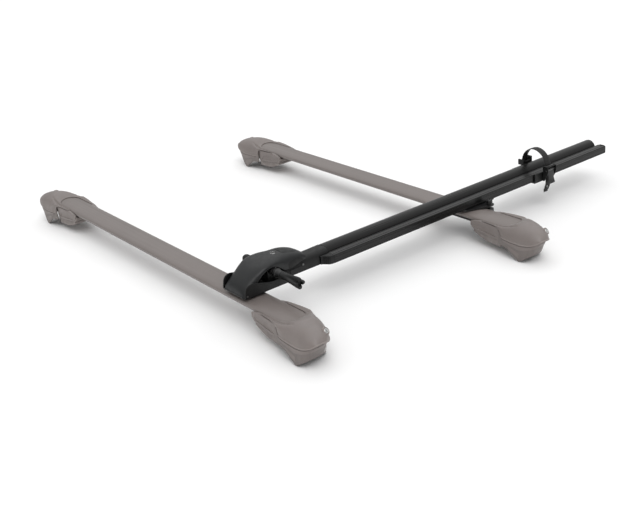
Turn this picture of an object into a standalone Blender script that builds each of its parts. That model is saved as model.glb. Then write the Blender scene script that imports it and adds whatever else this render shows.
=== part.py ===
"""Fork-mount bicycle carrier clamped across two roof crossbars, with its four roof feet.

X runs along the carrier, from the fork head to the tail. Y runs across the car. Z is up.
The origin is the middle of the footprint, at the level of the feet's claw tips.
"""
import math

import bmesh
import bpy
from mathutils import Vector

# Driving dimensions, in metres
BAR_TOP = 0.0785
BAR_WIDTH = 0.070
BAR_DEPTH = 0.020
BAR_WALL = 0.0022
BAR_SPACING = 0.720
FRONT_X = -0.625
REAR_X = FRONT_X + BAR_SPACING
FRONT_SPAN = 1.420
REAR_SPAN = 1.365
RIGHT_TIP_Y = -FRONT_SPAN / 2
BAR_INSET = 0.102

CARRIER_Y = -0.390
HEAD_X = FRONT_X - 0.037
HEAD_HALF = 0.0475
CHEEK = 0.004
TRAY_START = FRONT_X + 0.233
TRAY_END = 0.6655
TRAY_HALF = 0.047
TRAY_BOTTOM = 0.006
LEDGE_TOP = 0.0286
TRAY_FAR = 0.031
SPINE_V = 0.004
SPINE_RADIUS = 0.0225
SPINE_HEIGHT = 0.0190
GROOVE_FLOOR = LEDGE_TOP - 0.0075
TRAY_WALL = 0.0022
SLOT_HALF = 0.006
NOTCH = 0.011

NOSE_SIDE = 0.030
MOUTH_HALF = 0.033
MOUTH_START = 0.112
SHELL = 0.0025
GAP = 0.0003

AXLE_U = 0.093
AXLE_H = 0.045
AXLE_HALF = 0.050
FORK_GAP = 0.0030
LOCK_U = 0.122
HINGE_U = 0.009
HINGE_H = 0.0115
CLAMP_U = 0.051
STRAP_X = REAR_X + 0.296
DIAL_X = REAR_X + 0.086
JAW_RIGHT = -0.0725
BOLT_X = 0.043
BOLT_RIGHT_V = -0.0670
BOLT_LEFT_V = 0.0440
JAW_LEFT = 0.0500

Y_AXIS = Vector((0, 1, 0))
Z_AXIS = Vector((0, 0, 1))


# Materials

def material(name, colour, roughness, metallic=0.0):
    made = bpy.data.materials.new(name)
    made.use_nodes = True
    shader = made.node_tree.nodes["Principled BSDF"]
    shader.inputs["Base Color"].default_value = (*colour, 1.0)
    shader.inputs["Roughness"].default_value = roughness
    shader.inputs["Metallic"].default_value = metallic
    return made


# Points and outlines

def head_point(u, v, h):
    """A point u behind the head's front edge, v left of the carrier's middle, h above the bars."""
    return Vector((HEAD_X + u, CARRIER_Y + v, BAR_TOP + h))


def carrier_point(x, v, h):
    return Vector((x, CARRIER_Y + v, BAR_TOP + h))


def smooth_value(points, x):
    """Height at x of a smooth curve through a few (x, value) points."""
    points = sorted(points)
    if x <= points[0][0]:
        return points[0][1]
    if x >= points[-1][0]:
        return points[-1][1]
    i = max(k for k in range(len(points) - 1) if points[k][0] <= x)
    (x0, y0), (x1, y1) = points[i], points[i + 1]
    before = points[max(i - 1, 0)]
    after = points[min(i + 2, len(points) - 1)]
    slope0 = (y1 - before[1]) / (x1 - before[0])
    slope1 = (after[1] - y0) / (after[0] - x0)
    t = (x - x0) / (x1 - x0)
    width = x1 - x0
    return (
        (2 * t**3 - 3 * t**2 + 1) * y0
        + (t**3 - 2 * t**2 + t) * width * slope0
        + (3 * t**2 - 2 * t**3) * y1
        + (t**3 - t**2) * width * slope1
    )


def spread(low, high, count):
    return [low + (high - low) * k / (count - 1) for k in range(count)]


def arc(centre, radius, start_deg, end_deg, steps):
    """Points of a circular arc in a plane, as pairs."""
    angles = [math.radians(a) for a in spread(start_deg, end_deg, steps + 1)]
    return [(centre[0] + radius * math.cos(a), centre[1] + radius * math.sin(a)) for a in angles]


def arch(half_width, low, high, power, steps):
    """Points over a rounded arch from one foot to the other."""
    points = []
    for k in range(steps + 1):
        angle = math.pi * k / steps
        c, s = math.cos(angle), math.sin(angle)
        across = math.copysign(abs(c) ** (2 / power), c) * half_width
        points.append((across, low + (high - low) * max(s, 0.0) ** (2 / power)))
    return points


# Solids

def build(name, points, faces, mat, origin=(0, 0, 0)):
    """One named object from world points, its origin on its joint's axis."""
    origin = Vector(origin)
    mesh = bpy.data.meshes.new(name)
    mesh.from_pydata([tuple(Vector(p) - origin) for p in points], [], faces)
    work = bmesh.new()
    work.from_mesh(mesh)
    bmesh.ops.recalc_face_normals(work, faces=work.faces)
    work.to_mesh(mesh)
    work.free()
    mesh.shade_smooth()
    mesh.set_sharp_from_angle(angle=math.radians(35))
    mesh.materials.append(mat)
    made = bpy.data.objects.new(name, mesh)
    made.location = origin
    bpy.context.collection.objects.link(made)
    return made


def loft(name, rings, mat, origin=(0, 0, 0), closed=False):
    """A solid through rings with equal numbers of points, capped unless it closes on itself."""
    count = len(rings[0])
    points = [p for ring in rings for p in ring]
    faces = []
    spans = len(rings) if closed else len(rings) - 1
    for r in range(spans):
        first, second = r * count, (r + 1) % len(rings) * count
        for k in range(count):
            n = (k + 1) % count
            faces.append((first + k, first + n, second + n, second + k))
    if not closed:
        faces.append(tuple(range(count)))
        faces.append(tuple(range((len(rings) - 1) * count, len(rings) * count)))
    return build(name, points, faces, mat, origin)


def placed(axis, across, up, along):
    """A world point from two outline values and a distance along the extrusion's axis."""
    if axis == "X":
        return Vector((along, across, up))
    if axis == "Y":
        return Vector((across, along, up))
    return Vector((across, up, along))


def prism(name, outline, axis, low, high, mat, origin=(0, 0, 0)):
    rings = [[placed(axis, a, b, at) for a, b in outline] for at in (low, high)]
    return loft(name, rings, mat, origin)


def hollow_prism(name, outer, inner, axis, low, high, mat, origin=(0, 0, 0)):
    """An extrusion with a passage through it."""
    rings = [
        [placed(axis, a, b, at) for a, b in outline]
        for outline, at in ((outer, low), (outer, high), (inner, high), (inner, low))
    ]
    return loft(name, rings, mat, origin, closed=True)


def turned(name, profile, centre, direction, mat, segments=16, origin=None, closed=False):
    """A round piece from (radius, distance along its axis) pairs, closed when it is a ring."""
    centre, direction = Vector(centre), Vector(direction).normalized()
    side = direction.orthogonal().normalized()
    other = direction.cross(side)
    rings = []
    for radius, along in profile:
        angles = [math.tau * k / segments for k in range(segments)]
        middle = centre + direction * along
        rings.append([middle + (side * math.cos(a) + other * math.sin(a)) * radius for a in angles])
    return loft(name, rings, mat, centre if origin is None else origin, closed)


def lobed(name, lobes, inner, outer, centre, direction, low, high, mat, steps=4, origin=None):
    """A knob whose rim waves between two radii."""
    centre, direction = Vector(centre), Vector(direction).normalized()
    side = direction.orthogonal().normalized()
    other = direction.cross(side)
    total = lobes * steps
    rings = []
    for along in (low, high):
        ring = []
        for k in range(total):
            a = math.tau * k / total
            radius = inner + (outer - inner) * (0.5 + 0.5 * math.cos(lobes * a))
            ring.append(centre + direction * along + (side * math.cos(a) + other * math.sin(a)) * radius)
        rings.append(ring)
    return loft(name, rings, mat, centre if origin is None else origin)


def shell(name, rows, mat, thickness, origin=(0, 0, 0)):
    """A moulded wall, thickened inwards from a grid of surface points."""
    count = len(rows[0])
    points = [p for row in rows for p in row]
    faces = []
    for r in range(len(rows) - 1):
        for k in range(count - 1):
            a, b = r * count + k, (r + 1) * count + k
            faces.append((a, a + 1, b + 1, b))
    made = build(name, points, faces, mat, origin)
    wall = made.modifiers.new("wall", "SOLIDIFY")
    wall.thickness = thickness
    wall.offset = -1.0
    wall.use_even_offset = True
    return made


def boolean(body, tool, operation):
    tool.hide_render = True
    tool.display_type = "WIRE"
    change = body.modifiers.new(tool.name, "BOOLEAN")
    change.operation = operation
    change.solver = "EXACT"
    change.object = tool


def drill(body, centre, direction, radius, length, mat, segments=16):
    """A round hole, cut evenly either side of its centre."""
    name = f"{body.name}_cutter_{len(body.modifiers)}"
    profile = [(radius, -length / 2), (radius, length / 2)]
    boolean(body, turned(name, profile, centre, direction, mat, segments), "DIFFERENCE")


def carve(body, low, high, mat):
    """A box-shaped cut between two corners."""
    name = f"{body.name}_cutter_{len(body.modifiers)}"
    outline = [(low[0], low[1]), (high[0], low[1]), (high[0], high[1]), (low[0], high[1])]
    boolean(body, prism(name, outline, "Z", low[2], high[2], mat), "DIFFERENCE")


def block(name, low, high, mat, origin=(0, 0, 0)):
    outline = [(low[0], low[1]), (high[0], low[1]), (high[0], high[1]), (low[0], high[1])]
    return prism(name, outline, "Z", low[2], high[2], mat, origin)


# Crossbars

def bar_outline(inset):
    """The aero section, blunt at the front and thinner at the back, as (x, height) pairs."""
    half = BAR_WIDTH / 2 - inset
    top, bottom = -inset, -BAR_DEPTH + inset
    middle = -0.0095
    outline = []
    for k in range(20):
        angle = math.tau * k / 20
        c, s = math.cos(angle), math.sin(angle)
        power = 2.4 if c < 0 else 2.0
        across = math.copysign(abs(c) ** (2 / power), c) * half
        reach = (top - middle) if s > 0 else (middle - bottom)
        up = middle + math.copysign(abs(s) ** (2 / 2.6), s) * reach
        outline.append((across, up))
    return outline


def crossbar(name, bar_x, low_tip, high_tip, mat):
    def at(inset):
        return [(bar_x + a, BAR_TOP + b) for a, b in bar_outline(inset)]

    low, high = low_tip + BAR_INSET, high_tip - BAR_INSET
    return hollow_prism(name, at(0), at(BAR_WALL), "Y", low, high, mat, (bar_x, low, BAR_TOP))


# Roof feet: s is the distance inwards from the foot's outer tip

def cover_front(s):
    """How far the cover reaches forwards of the bar's middle: blunt, right out to the oblique nose."""
    if s < 0.055:
        return NOSE_SIDE + 0.0255 * (1 - ((0.055 - max(s, 0.0)) / 0.055) ** 2.5) ** 0.4
    return smooth_value([(0.055, NOSE_SIDE + 0.0255), (0.110, 0.0540), (0.150, 0.0475), (0.204, 0.0410)], s)


def cover_rear(s):
    """How far it reaches backwards: cut away at the nose, so the outer end is oblique."""
    if s < 0.128:
        return 0.0775 * (1 - ((0.150 - max(s, 0.0)) / 0.150) ** 2) ** 0.5 - NOSE_SIDE
    return smooth_value([(0.128, 0.0467), (0.160, 0.0450), (0.204, 0.0410)], s)


COVER_CREST = [(0.000, -0.0115), (0.012, 0.0005), (0.030, 0.0088), (0.045, 0.0122), (0.070, 0.0158),
               (0.110, 0.0160), (0.150, 0.0090), (0.204, 0.0035)]
COVER_HEM = [(0.000, -0.012), (0.012, -0.020), (0.035, -0.028), (0.060, -0.032), (0.100, -0.030),
             (0.122, -0.016),
             (0.134, -0.0040), (0.204, -0.0035)]
CLAW_TOP = [(0.010, -0.0215), (0.028, -0.0280), (0.045, -0.0330), (0.100, -0.0330), (0.125, -0.0350)]
CLAW_HEM = [(0.010, -0.0580), (0.028, -0.0640), (0.045, -0.0710), (0.066, -0.0785), (0.088, -0.0640),
            (0.125, -0.0420)]
BASE_INNER_HALF = 0.0378
BASE_ARM_HALF = [(0.139, 0.0470), (0.190, 0.0450), (0.246, 0.0405)]
BASE_UNDERSIDE = [(0.113, -0.0428), (0.125, -0.044), (0.146, -0.0435), (0.238, -0.036),
                  (0.246, -0.028)]
PAD_UNDERSIDE = [(0.137, -0.0595), (0.146, -0.0593), (0.185, -0.0584), (0.209, -0.0526), (0.236, -0.0425)]
PAD_HALF = [(0.137, 0.044), (0.236, 0.039)]


def straight_value(points, x):
    """Height at x of straight runs between (x, value) points."""
    for (x0, y0), (x1, y1) in zip(points, points[1:]):
        if x <= x1:
            return y0 + (y1 - y0) * max(0.0, x - x0) / (x1 - x0)
    return points[-1][1]


def foot(prefix, bar_x, tip_y, side, mats):
    """A roof foot; side is +1 at the bar's left end and -1 at its right end."""
    def at(s, w, h):
        return Vector((bar_x + w, tip_y - side * s, BAR_TOP + h))

    foot_base(prefix, at, mats)
    foot_pad(prefix, at, mats)
    foot_claw(prefix, at, mats)
    foot_cover(prefix, at, side, mats)


def foot_base(prefix, at, mats):
    """A channel that carries the bar, its two arms reaching inwards either side of it."""
    rings = []
    for s in (0.246, 0.243, 0.236, 0.190, 0.146, 0.139, 0.1377, 0.125, 0.113):
        outer = BASE_INNER_HALF if s < 0.138 else straight_value(BASE_ARM_HALF, s)
        rim = -0.0100 if s < 0.138 else straight_value([(0.225, -0.0065), (0.246, -0.014)], s)
        inner, floor = BAR_WIDTH / 2 + 2 * GAP, -BAR_DEPTH - 2 * GAP
        half = [(outer, straight_value(BASE_UNDERSIDE, s)), (outer, rim), (inner, rim), (inner, floor)]
        ring = half + [(-a, b) for a, b in reversed(half)]
        rings.append([at(s, a, b) for a, b in ring])
    loft(f"{prefix}_foot_base", rings, mats["bar_plastic"])


def foot_pad(prefix, at, mats):
    """Rubber wedge that stands on the roof."""
    rings = []
    for s, low in PAD_UNDERSIDE:
        top = straight_value(BASE_UNDERSIDE, s) - GAP
        half = straight_value(PAD_HALF, s)
        rings.append([at(s, half, top), at(s, half, low), at(s, -half, low), at(s, -half, top)])
    loft(f"{prefix}_foot_pad", rings, mats["pad_rubber"])


def foot_claw(prefix, at, mats):
    """A wall that wraps round the outer end under the cover's hem, leans in and hooks the door frame."""
    lengths = (0.125, 0.105, 0.088, 0.066, 0.047, 0.030, 0.018, 0.012)
    front = [(s, -cover_front(s - 0.008) - 0.0015) for s in lengths]
    rear = [(s, cover_rear(s - 0.010) + 0.0010) for s in reversed(lengths)]
    stations = front + [(0.010, -NOSE_SIDE)] + rear
    wall = 0.0030
    rings = []
    for index, (s, w) in enumerate(stations):
        ahead, behind = stations[min(index + 1, len(stations) - 1)], stations[max(index - 1, 0)]
        run = Vector((ahead[0] - behind[0], ahead[1] - behind[1])).normalized()
        inward = Vector((-run.y, run.x)) * wall
        if inward.dot(Vector((0.09 - s, -w))) < 0:
            inward = -inward
        lean = 0.024 * max(0.0, 1 - s / 0.066)
        top, low = straight_value(CLAW_TOP, s), straight_value(CLAW_HEM, s)
        rings.append([at(s, w, top), at(s + lean, w, low), at(s + lean + inward.x, w + inward.y, low),
                      at(s + inward.x, w + inward.y, top)])
    loft(f"{prefix}_foot_claw", rings, mats["bar_plastic"], at(0.030, 0, -0.045))


def foot_cover(prefix, at, side, mats):
    """Domed shell that hinges up at its inner edge, open in a U where the bar runs in,
    and its lock plug."""
    rows = []
    for s in (0.0006, 0.004, 0.012, 0.022, 0.036, 0.055, 0.080, 0.105, 0.118, 0.132, 0.165, 0.204):
        low, high = smooth_value(COVER_HEM, s), smooth_value(COVER_CREST, s)
        middle, half = (cover_rear(s) - cover_front(s)) / 2, (cover_rear(s) + cover_front(s)) / 2
        rows.append([at(s, middle + a, b) for a, b in arch(half, low, high, 2.2, 12)])
    cover = shell(f"{prefix}_foot_cover", rows, mats["bar_plastic"], SHELL, at(0.204, 0, 0.003))
    mouth = [(MOUTH_START + MOUTH_HALF * (1 + a), b * MOUTH_HALF) for a, b in arc((0, 0), 1.0, 90, 270, 10)]
    mouth = [(0.220, MOUTH_HALF)] + mouth + [(0.220, -MOUTH_HALF)]
    cutter = loft(f"{prefix}_foot_cover_mouth", [[at(s, w, h) for s, w in mouth] for h in (-0.002, 0.030)],
                  mats["bar_plastic"])
    boolean(cover, cutter, "DIFFERENCE")
    outward = Vector((0.45, side, 0.8)).normalized()
    lock_centre = at(0.0250, 0.0035, -0.0010)
    drill(cover, lock_centre, outward, 0.0066, 0.016, mats["bar_plastic"], 16)
    profile = [(0.0052, -0.014), (0.0052, -0.004), (0.0062, -0.0035), (0.0062, 0.0030), (0.0054, 0.0038)]
    turned(f"{prefix}_foot_lock", profile, lock_centre, outward, mats["lock_metal"], 16)


# Tray

def tray_outer():
    """The tray's section from its right slot lip over the ledge, groove and spine to the left lip."""
    groove_angle = math.degrees(math.asin((GROOVE_FLOOR - SPINE_HEIGHT) / SPINE_RADIUS))
    near = [
        (-SLOT_HALF, TRAY_BOTTOM),
        (-TRAY_HALF + 0.0015, TRAY_BOTTOM),
        (-TRAY_HALF, TRAY_BOTTOM + 0.0015),
        (-TRAY_HALF, LEDGE_TOP - 0.0020),
        (-TRAY_HALF + 0.0020, LEDGE_TOP),
        (-0.0225, LEDGE_TOP),
        (-0.0215, LEDGE_TOP - 0.0010),
        (-0.0215, GROOVE_FLOOR),
    ]
    far = [
        (TRAY_FAR - 0.0015, SPINE_HEIGHT),
        (TRAY_FAR, SPINE_HEIGHT - 0.0015),
        (TRAY_FAR, TRAY_BOTTOM + 0.0015),
        (TRAY_FAR - 0.0015, TRAY_BOTTOM),
        (SLOT_HALF, TRAY_BOTTOM),
    ]
    return near + arc((SPINE_V, SPINE_HEIGHT), SPINE_RADIUS, 180 - groove_angle, 0, 18) + far


def tray_inner():
    """The inner wall, from the left slot lip back to the right one."""
    wall = TRAY_WALL
    far = [
        (SLOT_HALF, TRAY_BOTTOM + wall),
        (TRAY_FAR - wall, TRAY_BOTTOM + wall),
        (TRAY_FAR - wall, SPINE_HEIGHT - wall),
        (SPINE_V + SPINE_RADIUS - wall, SPINE_HEIGHT - wall),
    ]
    near = [
        (-0.0215 - wall, GROOVE_FLOOR - wall),
        (-0.0215 - wall, LEDGE_TOP - wall - 0.0010),
        (-0.0225 - wall, LEDGE_TOP - wall),
        (-TRAY_HALF + wall + 0.001, LEDGE_TOP - wall),
        (-TRAY_HALF + wall, LEDGE_TOP - wall - 0.001),
        (-TRAY_HALF + wall, TRAY_BOTTOM + wall + 0.001),
        (-TRAY_HALF + wall + 0.001, TRAY_BOTTOM + wall),
        (-SLOT_HALF, TRAY_BOTTOM + wall),
    ]
    return far + arc((SPINE_V, SPINE_HEIGHT), SPINE_RADIUS - wall, 0, 178, 18) + near


def tray(mats):
    """The slotted extrusion, its two end caps, the spine's plug and the collar at the neck."""
    contour = [(CARRIER_Y + a, BAR_TOP + b) for a, b in tray_outer() + tray_inner()]
    rail = prism("tray_rail", contour, "X", TRAY_START, TRAY_END, mats["anodised"])
    notch_low = carrier_point(TRAY_END - NOTCH, -0.0223, LEDGE_TOP - 0.012)
    notch_high = carrier_point(TRAY_END + NOTCH, TRAY_FAR + NOTCH, 0.060)
    carve(rail, notch_low, notch_high, mats["anodised"])

    right_cap = [(-TRAY_HALF + 0.0015, TRAY_BOTTOM), (-TRAY_HALF, TRAY_BOTTOM + 0.0015),
                 (-TRAY_HALF, LEDGE_TOP - 0.0020),
                 (-TRAY_HALF + 0.0050, LEDGE_TOP + 0.0012), (-0.0280, LEDGE_TOP + 0.0012),
                 (-0.0232, LEDGE_TOP - 0.0010),
                 (-0.0232, TRAY_BOTTOM + GAP)]
    left_cap = [(0.0080, TRAY_BOTTOM), (TRAY_FAR - 0.0015, TRAY_BOTTOM), (TRAY_FAR, TRAY_BOTTOM + 0.0015),
                (TRAY_FAR, LEDGE_TOP - 0.0125), (0.0080, LEDGE_TOP - 0.0125)]
    for name, cap in (("end_cap_right", right_cap), ("end_cap_left", left_cap)):
        outline = [(CARRIER_Y + a, BAR_TOP + b) for a, b in cap]
        prism(name, outline, "X", TRAY_END + GAP, TRAY_END + 0.0045, mats["moulded"])

    plug = arc((SPINE_V, SPINE_HEIGHT), SPINE_RADIUS - 0.0004, 0, 180, 16)
    plug = [(CARRIER_Y + a, BAR_TOP + b) for a, b in plug]
    plug_start = TRAY_END - NOTCH + GAP
    prism("spine_plug", plug, "X", plug_start, plug_start + 0.0030, mats["moulded"])

    tray_collar(mats)


def tray_collar(mats):
    """A collar that rounds off the tray's front end, with a passage for the neck."""
    start, end = TRAY_START - 0.0280, TRAY_START - GAP
    stations = [(start, 0.0290), (start + 0.0040, 0.0305), (start + 0.0085, 0.0360),
                (start + 0.0130, 0.0415),
                (start + 0.0180, 0.0455), (end, TRAY_HALF)]
    top, inner, floor = LEDGE_TOP, 0.0262, TRAY_BOTTOM + 0.0031

    def outline(half):
        return [(TRAY_FAR - 0.002, TRAY_BOTTOM), (TRAY_FAR, TRAY_BOTTOM + 0.002), (TRAY_FAR, 0.0170),
                (TRAY_FAR - 0.002, SPINE_HEIGHT), (inner, SPINE_HEIGHT), (inner, floor), (-inner, floor),
                (-inner, top),
                (-half + 0.002, top), (-half, top - 0.002), (-half, TRAY_BOTTOM + 0.002),
                (-half + 0.002, TRAY_BOTTOM)]

    rings = [[carrier_point(x, a, b) for a, b in outline(half)] for x, half in stations]
    loft("tray_collar", rings, mats["moulded"])


# Head

CHEEK_TOP = [(0.002, 0.010), (0.005, 0.026), (0.011, 0.0345), (0.020, 0.0385), (0.030, 0.0375),
             (0.050, 0.0325),
             (0.080, 0.0250), (0.118, 0.0230), (0.130, 0.0120)]
LID_CREST = [(0.0005, 0.0065), (0.004, 0.019), (0.011, 0.031), (0.028, 0.0460), (0.048, 0.0585),
             (0.070, 0.0670),
             (0.098, 0.0712), (0.122, 0.0715), (0.153, 0.0695), (0.180, 0.0620), (0.196, 0.0530)]
LID_HEM = [(0.0005, 0.0050), (0.011, 0.0062), (0.022, 0.0120), (0.035, 0.0260), (0.050, 0.0420),
           (0.063, 0.0520),
           (0.082, 0.0568), (0.101, 0.0545), (0.115, 0.0450), (0.125, 0.0375), (0.143, 0.0365),
           (0.168, 0.0390),
           (0.196, 0.0400)]
LID_HALF = [(0.0005, 0.0400), (0.011, 0.0420), (0.035, 0.0425), (0.055, 0.0445), (0.075, 0.0450),
            (0.100, 0.0435),
            (0.125, 0.0420), (0.150, 0.0405), (0.175, 0.0355), (0.196, 0.0300)]


def head_base(mats):
    """Channel-shaped casting with two humped cheeks, running back into the neck and its tongue."""
    mat = mats["moulded"]
    rings = []
    for u in (0.002, 0.005, 0.011, 0.020, 0.030, 0.050, 0.080, 0.118, 0.130):
        outer = HEAD_HALF if u < 0.119 else HEAD_HALF - 0.006
        inner = outer - CHEEK
        top = straight_value(CHEEK_TOP, u)
        half = [(outer, 0.0055), (outer, top), (inner, top), (inner, 0.0085)]
        ring = half + [(-a, b) for a, b in reversed(half)]
        rings.append([head_point(u, a, b) for a, b in ring])
    base = loft("head_base", rings, mat)

    neck_rings = []
    end = TRAY_START - HEAD_X
    neck_stations = [(0.112, 0.0250, 0.0062, 0.024), (0.135, 0.0250, 0.0062, 0.030),
                     (0.180, 0.0250, 0.0062, 0.0370),
                     (0.200, 0.0250, 0.0062, 0.0396), (end - 0.0293, 0.0250, 0.0062, 0.0402),
                     (end - 0.0285, 0.0250, 0.0098, 0.0402), (end - 0.0008, 0.0250, 0.0098, 0.0408),
                     (end - 0.0004, 0.0145, 0.0102, 0.0330), (end + 0.0580, 0.0145, 0.0102, 0.0330)]
    for u, half, bottom, top in neck_stations:
        crown = arch(half, bottom, top, 2.8, 12)
        neck_rings.append([head_point(u, a, b) for a, b in crown])
    neck = loft("head_base_neck", neck_rings, mat)
    boolean(base, neck, "UNION")
    pedestal = block("head_base_pedestal", head_point(0.0815, -0.030, 0.0070),
                     head_point(0.1045, 0.030, 0.0565), mat)
    boolean(base, pedestal, "UNION")
    carve(base, head_point(-0.010, -0.0440, 0.000), head_point(0.022, 0.0440, 0.050), mat)
    carve(base, head_point(0.0730, -0.0160, 0.000), head_point(0.0800, 0.0160, 0.020), mat)
    drill(base, head_point(HINGE_U, 0, HINGE_H), Y_AXIS, 0.0028, 0.120, mat, 12)
    drill(base, head_point(0.190, 0, 0.024), Y_AXIS, 0.0034, 0.060, mat, 12)
    drill(base, head_point(AXLE_U, 0, AXLE_H), Y_AXIS, 0.0098, 0.120, mat, 20)
    turned("neck_pin", [(0.0030, -0.0256), (0.0030, 0.0256)], head_point(0.190, 0, 0.024), Y_AXIS,
           mats["steel"], 12)


def head_lid(mats):
    """Hood over the clamp, hinged at the head's front edge and locked near its highest point."""
    hinge = head_point(HINGE_U, 0, HINGE_H)
    rows = []
    for u in (0.0005, 0.004, 0.011, 0.022, 0.035, 0.050, 0.063, 0.082, 0.101, 0.115, 0.125, 0.143, 0.168,
              0.196):
        half, low, high = (smooth_value(curve, u) for curve in (LID_HALF, LID_HEM, LID_CREST))
        rows.append([head_point(u, a, b) for a, b in arch(half, low, high, 3.2, 12)])
    lid = shell("head_lid", rows, mats["moulded"], SHELL, hinge)
    drill(lid, hinge, Y_AXIS, 0.0031, 0.110, mats["moulded"], 12)
    drill(lid, head_point(LOCK_U, 0, 0.068), Z_AXIS, 0.0072, 0.020, mats["moulded"], 20)

    turned("lid_hinge_pin", [(0.0025, -0.0485), (0.0025, 0.0485)], hinge, Y_AXIS, mats["steel"], 12)
    bezel = [(0.0060, -0.006), (0.0069, -0.006), (0.0069, 0.0032), (0.0064, 0.0040), (0.0060, 0.0040)]
    turned("lock_bezel", bezel, head_point(LOCK_U, 0, 0.0675), Z_AXIS, mats["chrome"], 20, closed=True)
    core = [(0.0056, -0.0170), (0.0056, 0.0025), (0.0050, 0.0031)]
    cylinder = turned("lock_cylinder", core, head_point(LOCK_U, 0, 0.0675), Z_AXIS, mats["lock_metal"], 16)
    key_low = head_point(LOCK_U - 0.0030, -0.0006, 0.0675)
    carve(cylinder, key_low, head_point(LOCK_U + 0.0030, 0.0006, 0.0750), mats["lock_metal"])
    tongue = [(-0.0050, -0.0045), (0.0160, -0.0045), (0.0180, -0.0025), (0.0180, 0.0025), (0.0160, 0.0045),
              (-0.0050, 0.0045)]
    outline = [(HEAD_X + LOCK_U + a, CARRIER_Y + b) for a, b in tongue]
    prism("lock_tongue", outline, "Z", BAR_TOP + 0.0472, BAR_TOP + 0.0502, mats["steel"],
          head_point(LOCK_U, 0, 0.0500))


def head_clamp(mats):
    """Pad, bridge, dial and bolt that pull a steel hook up behind and under the front bar."""
    block("head_pad", head_point(0.024, -0.040, GAP), head_point(0.062, 0.040, 0.0052), mats["rubber"])
    bolt_at = head_point(CLAMP_U, 0, 0.0250)
    bridge = block("clamp_bridge", head_point(0.042, -0.0431, 0.0215), head_point(0.060, 0.0431, 0.0245),
                   mats["steel"])
    drill(bridge, bolt_at, Z_AXIS, 0.0043, 0.020, mats["steel"], 12)
    turned("clamp_bolt", [(0.0040, -0.0158), (0.0040, 0.0002)], bolt_at, Z_AXIS, mats["steel"], 12)
    lobed("clamp_dial", 12, 0.0158, 0.0172, bolt_at, Z_AXIS, 0.0005, 0.0115, mats["moulded"], 4)
    profile = [(0.042, 0.0185), (0.0785, 0.0185), (0.0785, -0.0245), (0.050, -0.0245), (0.050, -0.0206),
               (0.0745, -0.0206), (0.0745, 0.0155), (0.042, 0.0155)]
    outline = [(HEAD_X + a, BAR_TOP + b) for a, b in profile]
    hook = prism("clamp_hook", outline, "Y", CARRIER_Y - 0.015, CARRIER_Y + 0.015, mats["steel"], bolt_at)
    drill(hook, head_point(CLAMP_U, 0, 0.017), Z_AXIS, 0.0043, 0.008, mats["steel"], 12)


def skewer(mats):
    """Axle tube across the head, with the rod, cup, star knob and end nut that pinch the fork."""
    middle = head_point(AXLE_U, 0, AXLE_H)
    tube = [(0.0048, -AXLE_HALF), (0.0095, -AXLE_HALF), (0.0095, AXLE_HALF), (0.0048, AXLE_HALF)]
    turned("axle_tube", tube, middle, Y_AXIS, mats["steel"], 20, closed=True)
    turned("skewer_rod", [(0.0044, -0.1080), (0.0044, 0.0610)], middle, Y_AXIS, mats["steel"], 12)
    near = -AXLE_HALF - FORK_GAP
    cup = [(0.0048, near - 0.0210), (0.0098, near - 0.0210), (0.0100, near - 0.0060),
           (0.0116, near - 0.0045),
           (0.0116, near - 0.0005), (0.0108, near), (0.0048, near)]
    turned("clamp_cup", cup, middle, Y_AXIS, mats["satin_black"], 20, closed=True)
    far = AXLE_HALF + FORK_GAP
    nut = [(0.0048, far), (0.0088, far), (0.0096, far + 0.0050), (0.0110, far + 0.0080),
           (0.0110, far + 0.0180),
           (0.0098, far + 0.0240), (0.0060, far + 0.0277), (0.0020, far + 0.0290), (0.0020, far + 0.0085),
           (0.0048, far + 0.0085)]
    turned("skewer_nut", nut, middle, Y_AXIS, mats["moulded"], 20, closed=True)
    star_knob(middle, mats)
    eyelet = [(0.0026, -0.0500), (0.0060, -0.0500), (0.0060, -0.0478), (0.0026, -0.0478)]
    turned("side_eyelet", eyelet, head_point(0.110, 0, 0.0310), Y_AXIS, mats["chrome"], 16, closed=True)


def star_knob(middle, mats):
    """Knob with four lobes that flare outwards from a round hub."""
    rings = []
    steps = 24
    stations = [(-0.0745, 0.0100, 0.0), (-0.0850, 0.0098, 0.0), (-0.1000, 0.0105, 0.08),
                (-0.1180, 0.0122, 0.28),
                (-0.1390, 0.0148, 0.42), (-0.1440, 0.0136, 0.42)]
    for along, radius, depth in stations:
        ring = []
        for k in range(steps):
            a = math.tau * k / steps
            reach = radius * (1 - depth * (0.5 - 0.5 * math.cos(4 * a)))
            ring.append(middle + Vector((math.cos(a) * reach, along, math.sin(a) * reach)))
        rings.append(ring)
    knob = loft("star_knob", rings, mats["moulded"], middle)
    bore = turned("star_knob_bore", [(0.0048, -0.0650), (0.0048, -0.1150)], middle, Y_AXIS, mats["moulded"],
                  12)
    boolean(knob, bore, "DIFFERENCE")


# Rear clamp

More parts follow.
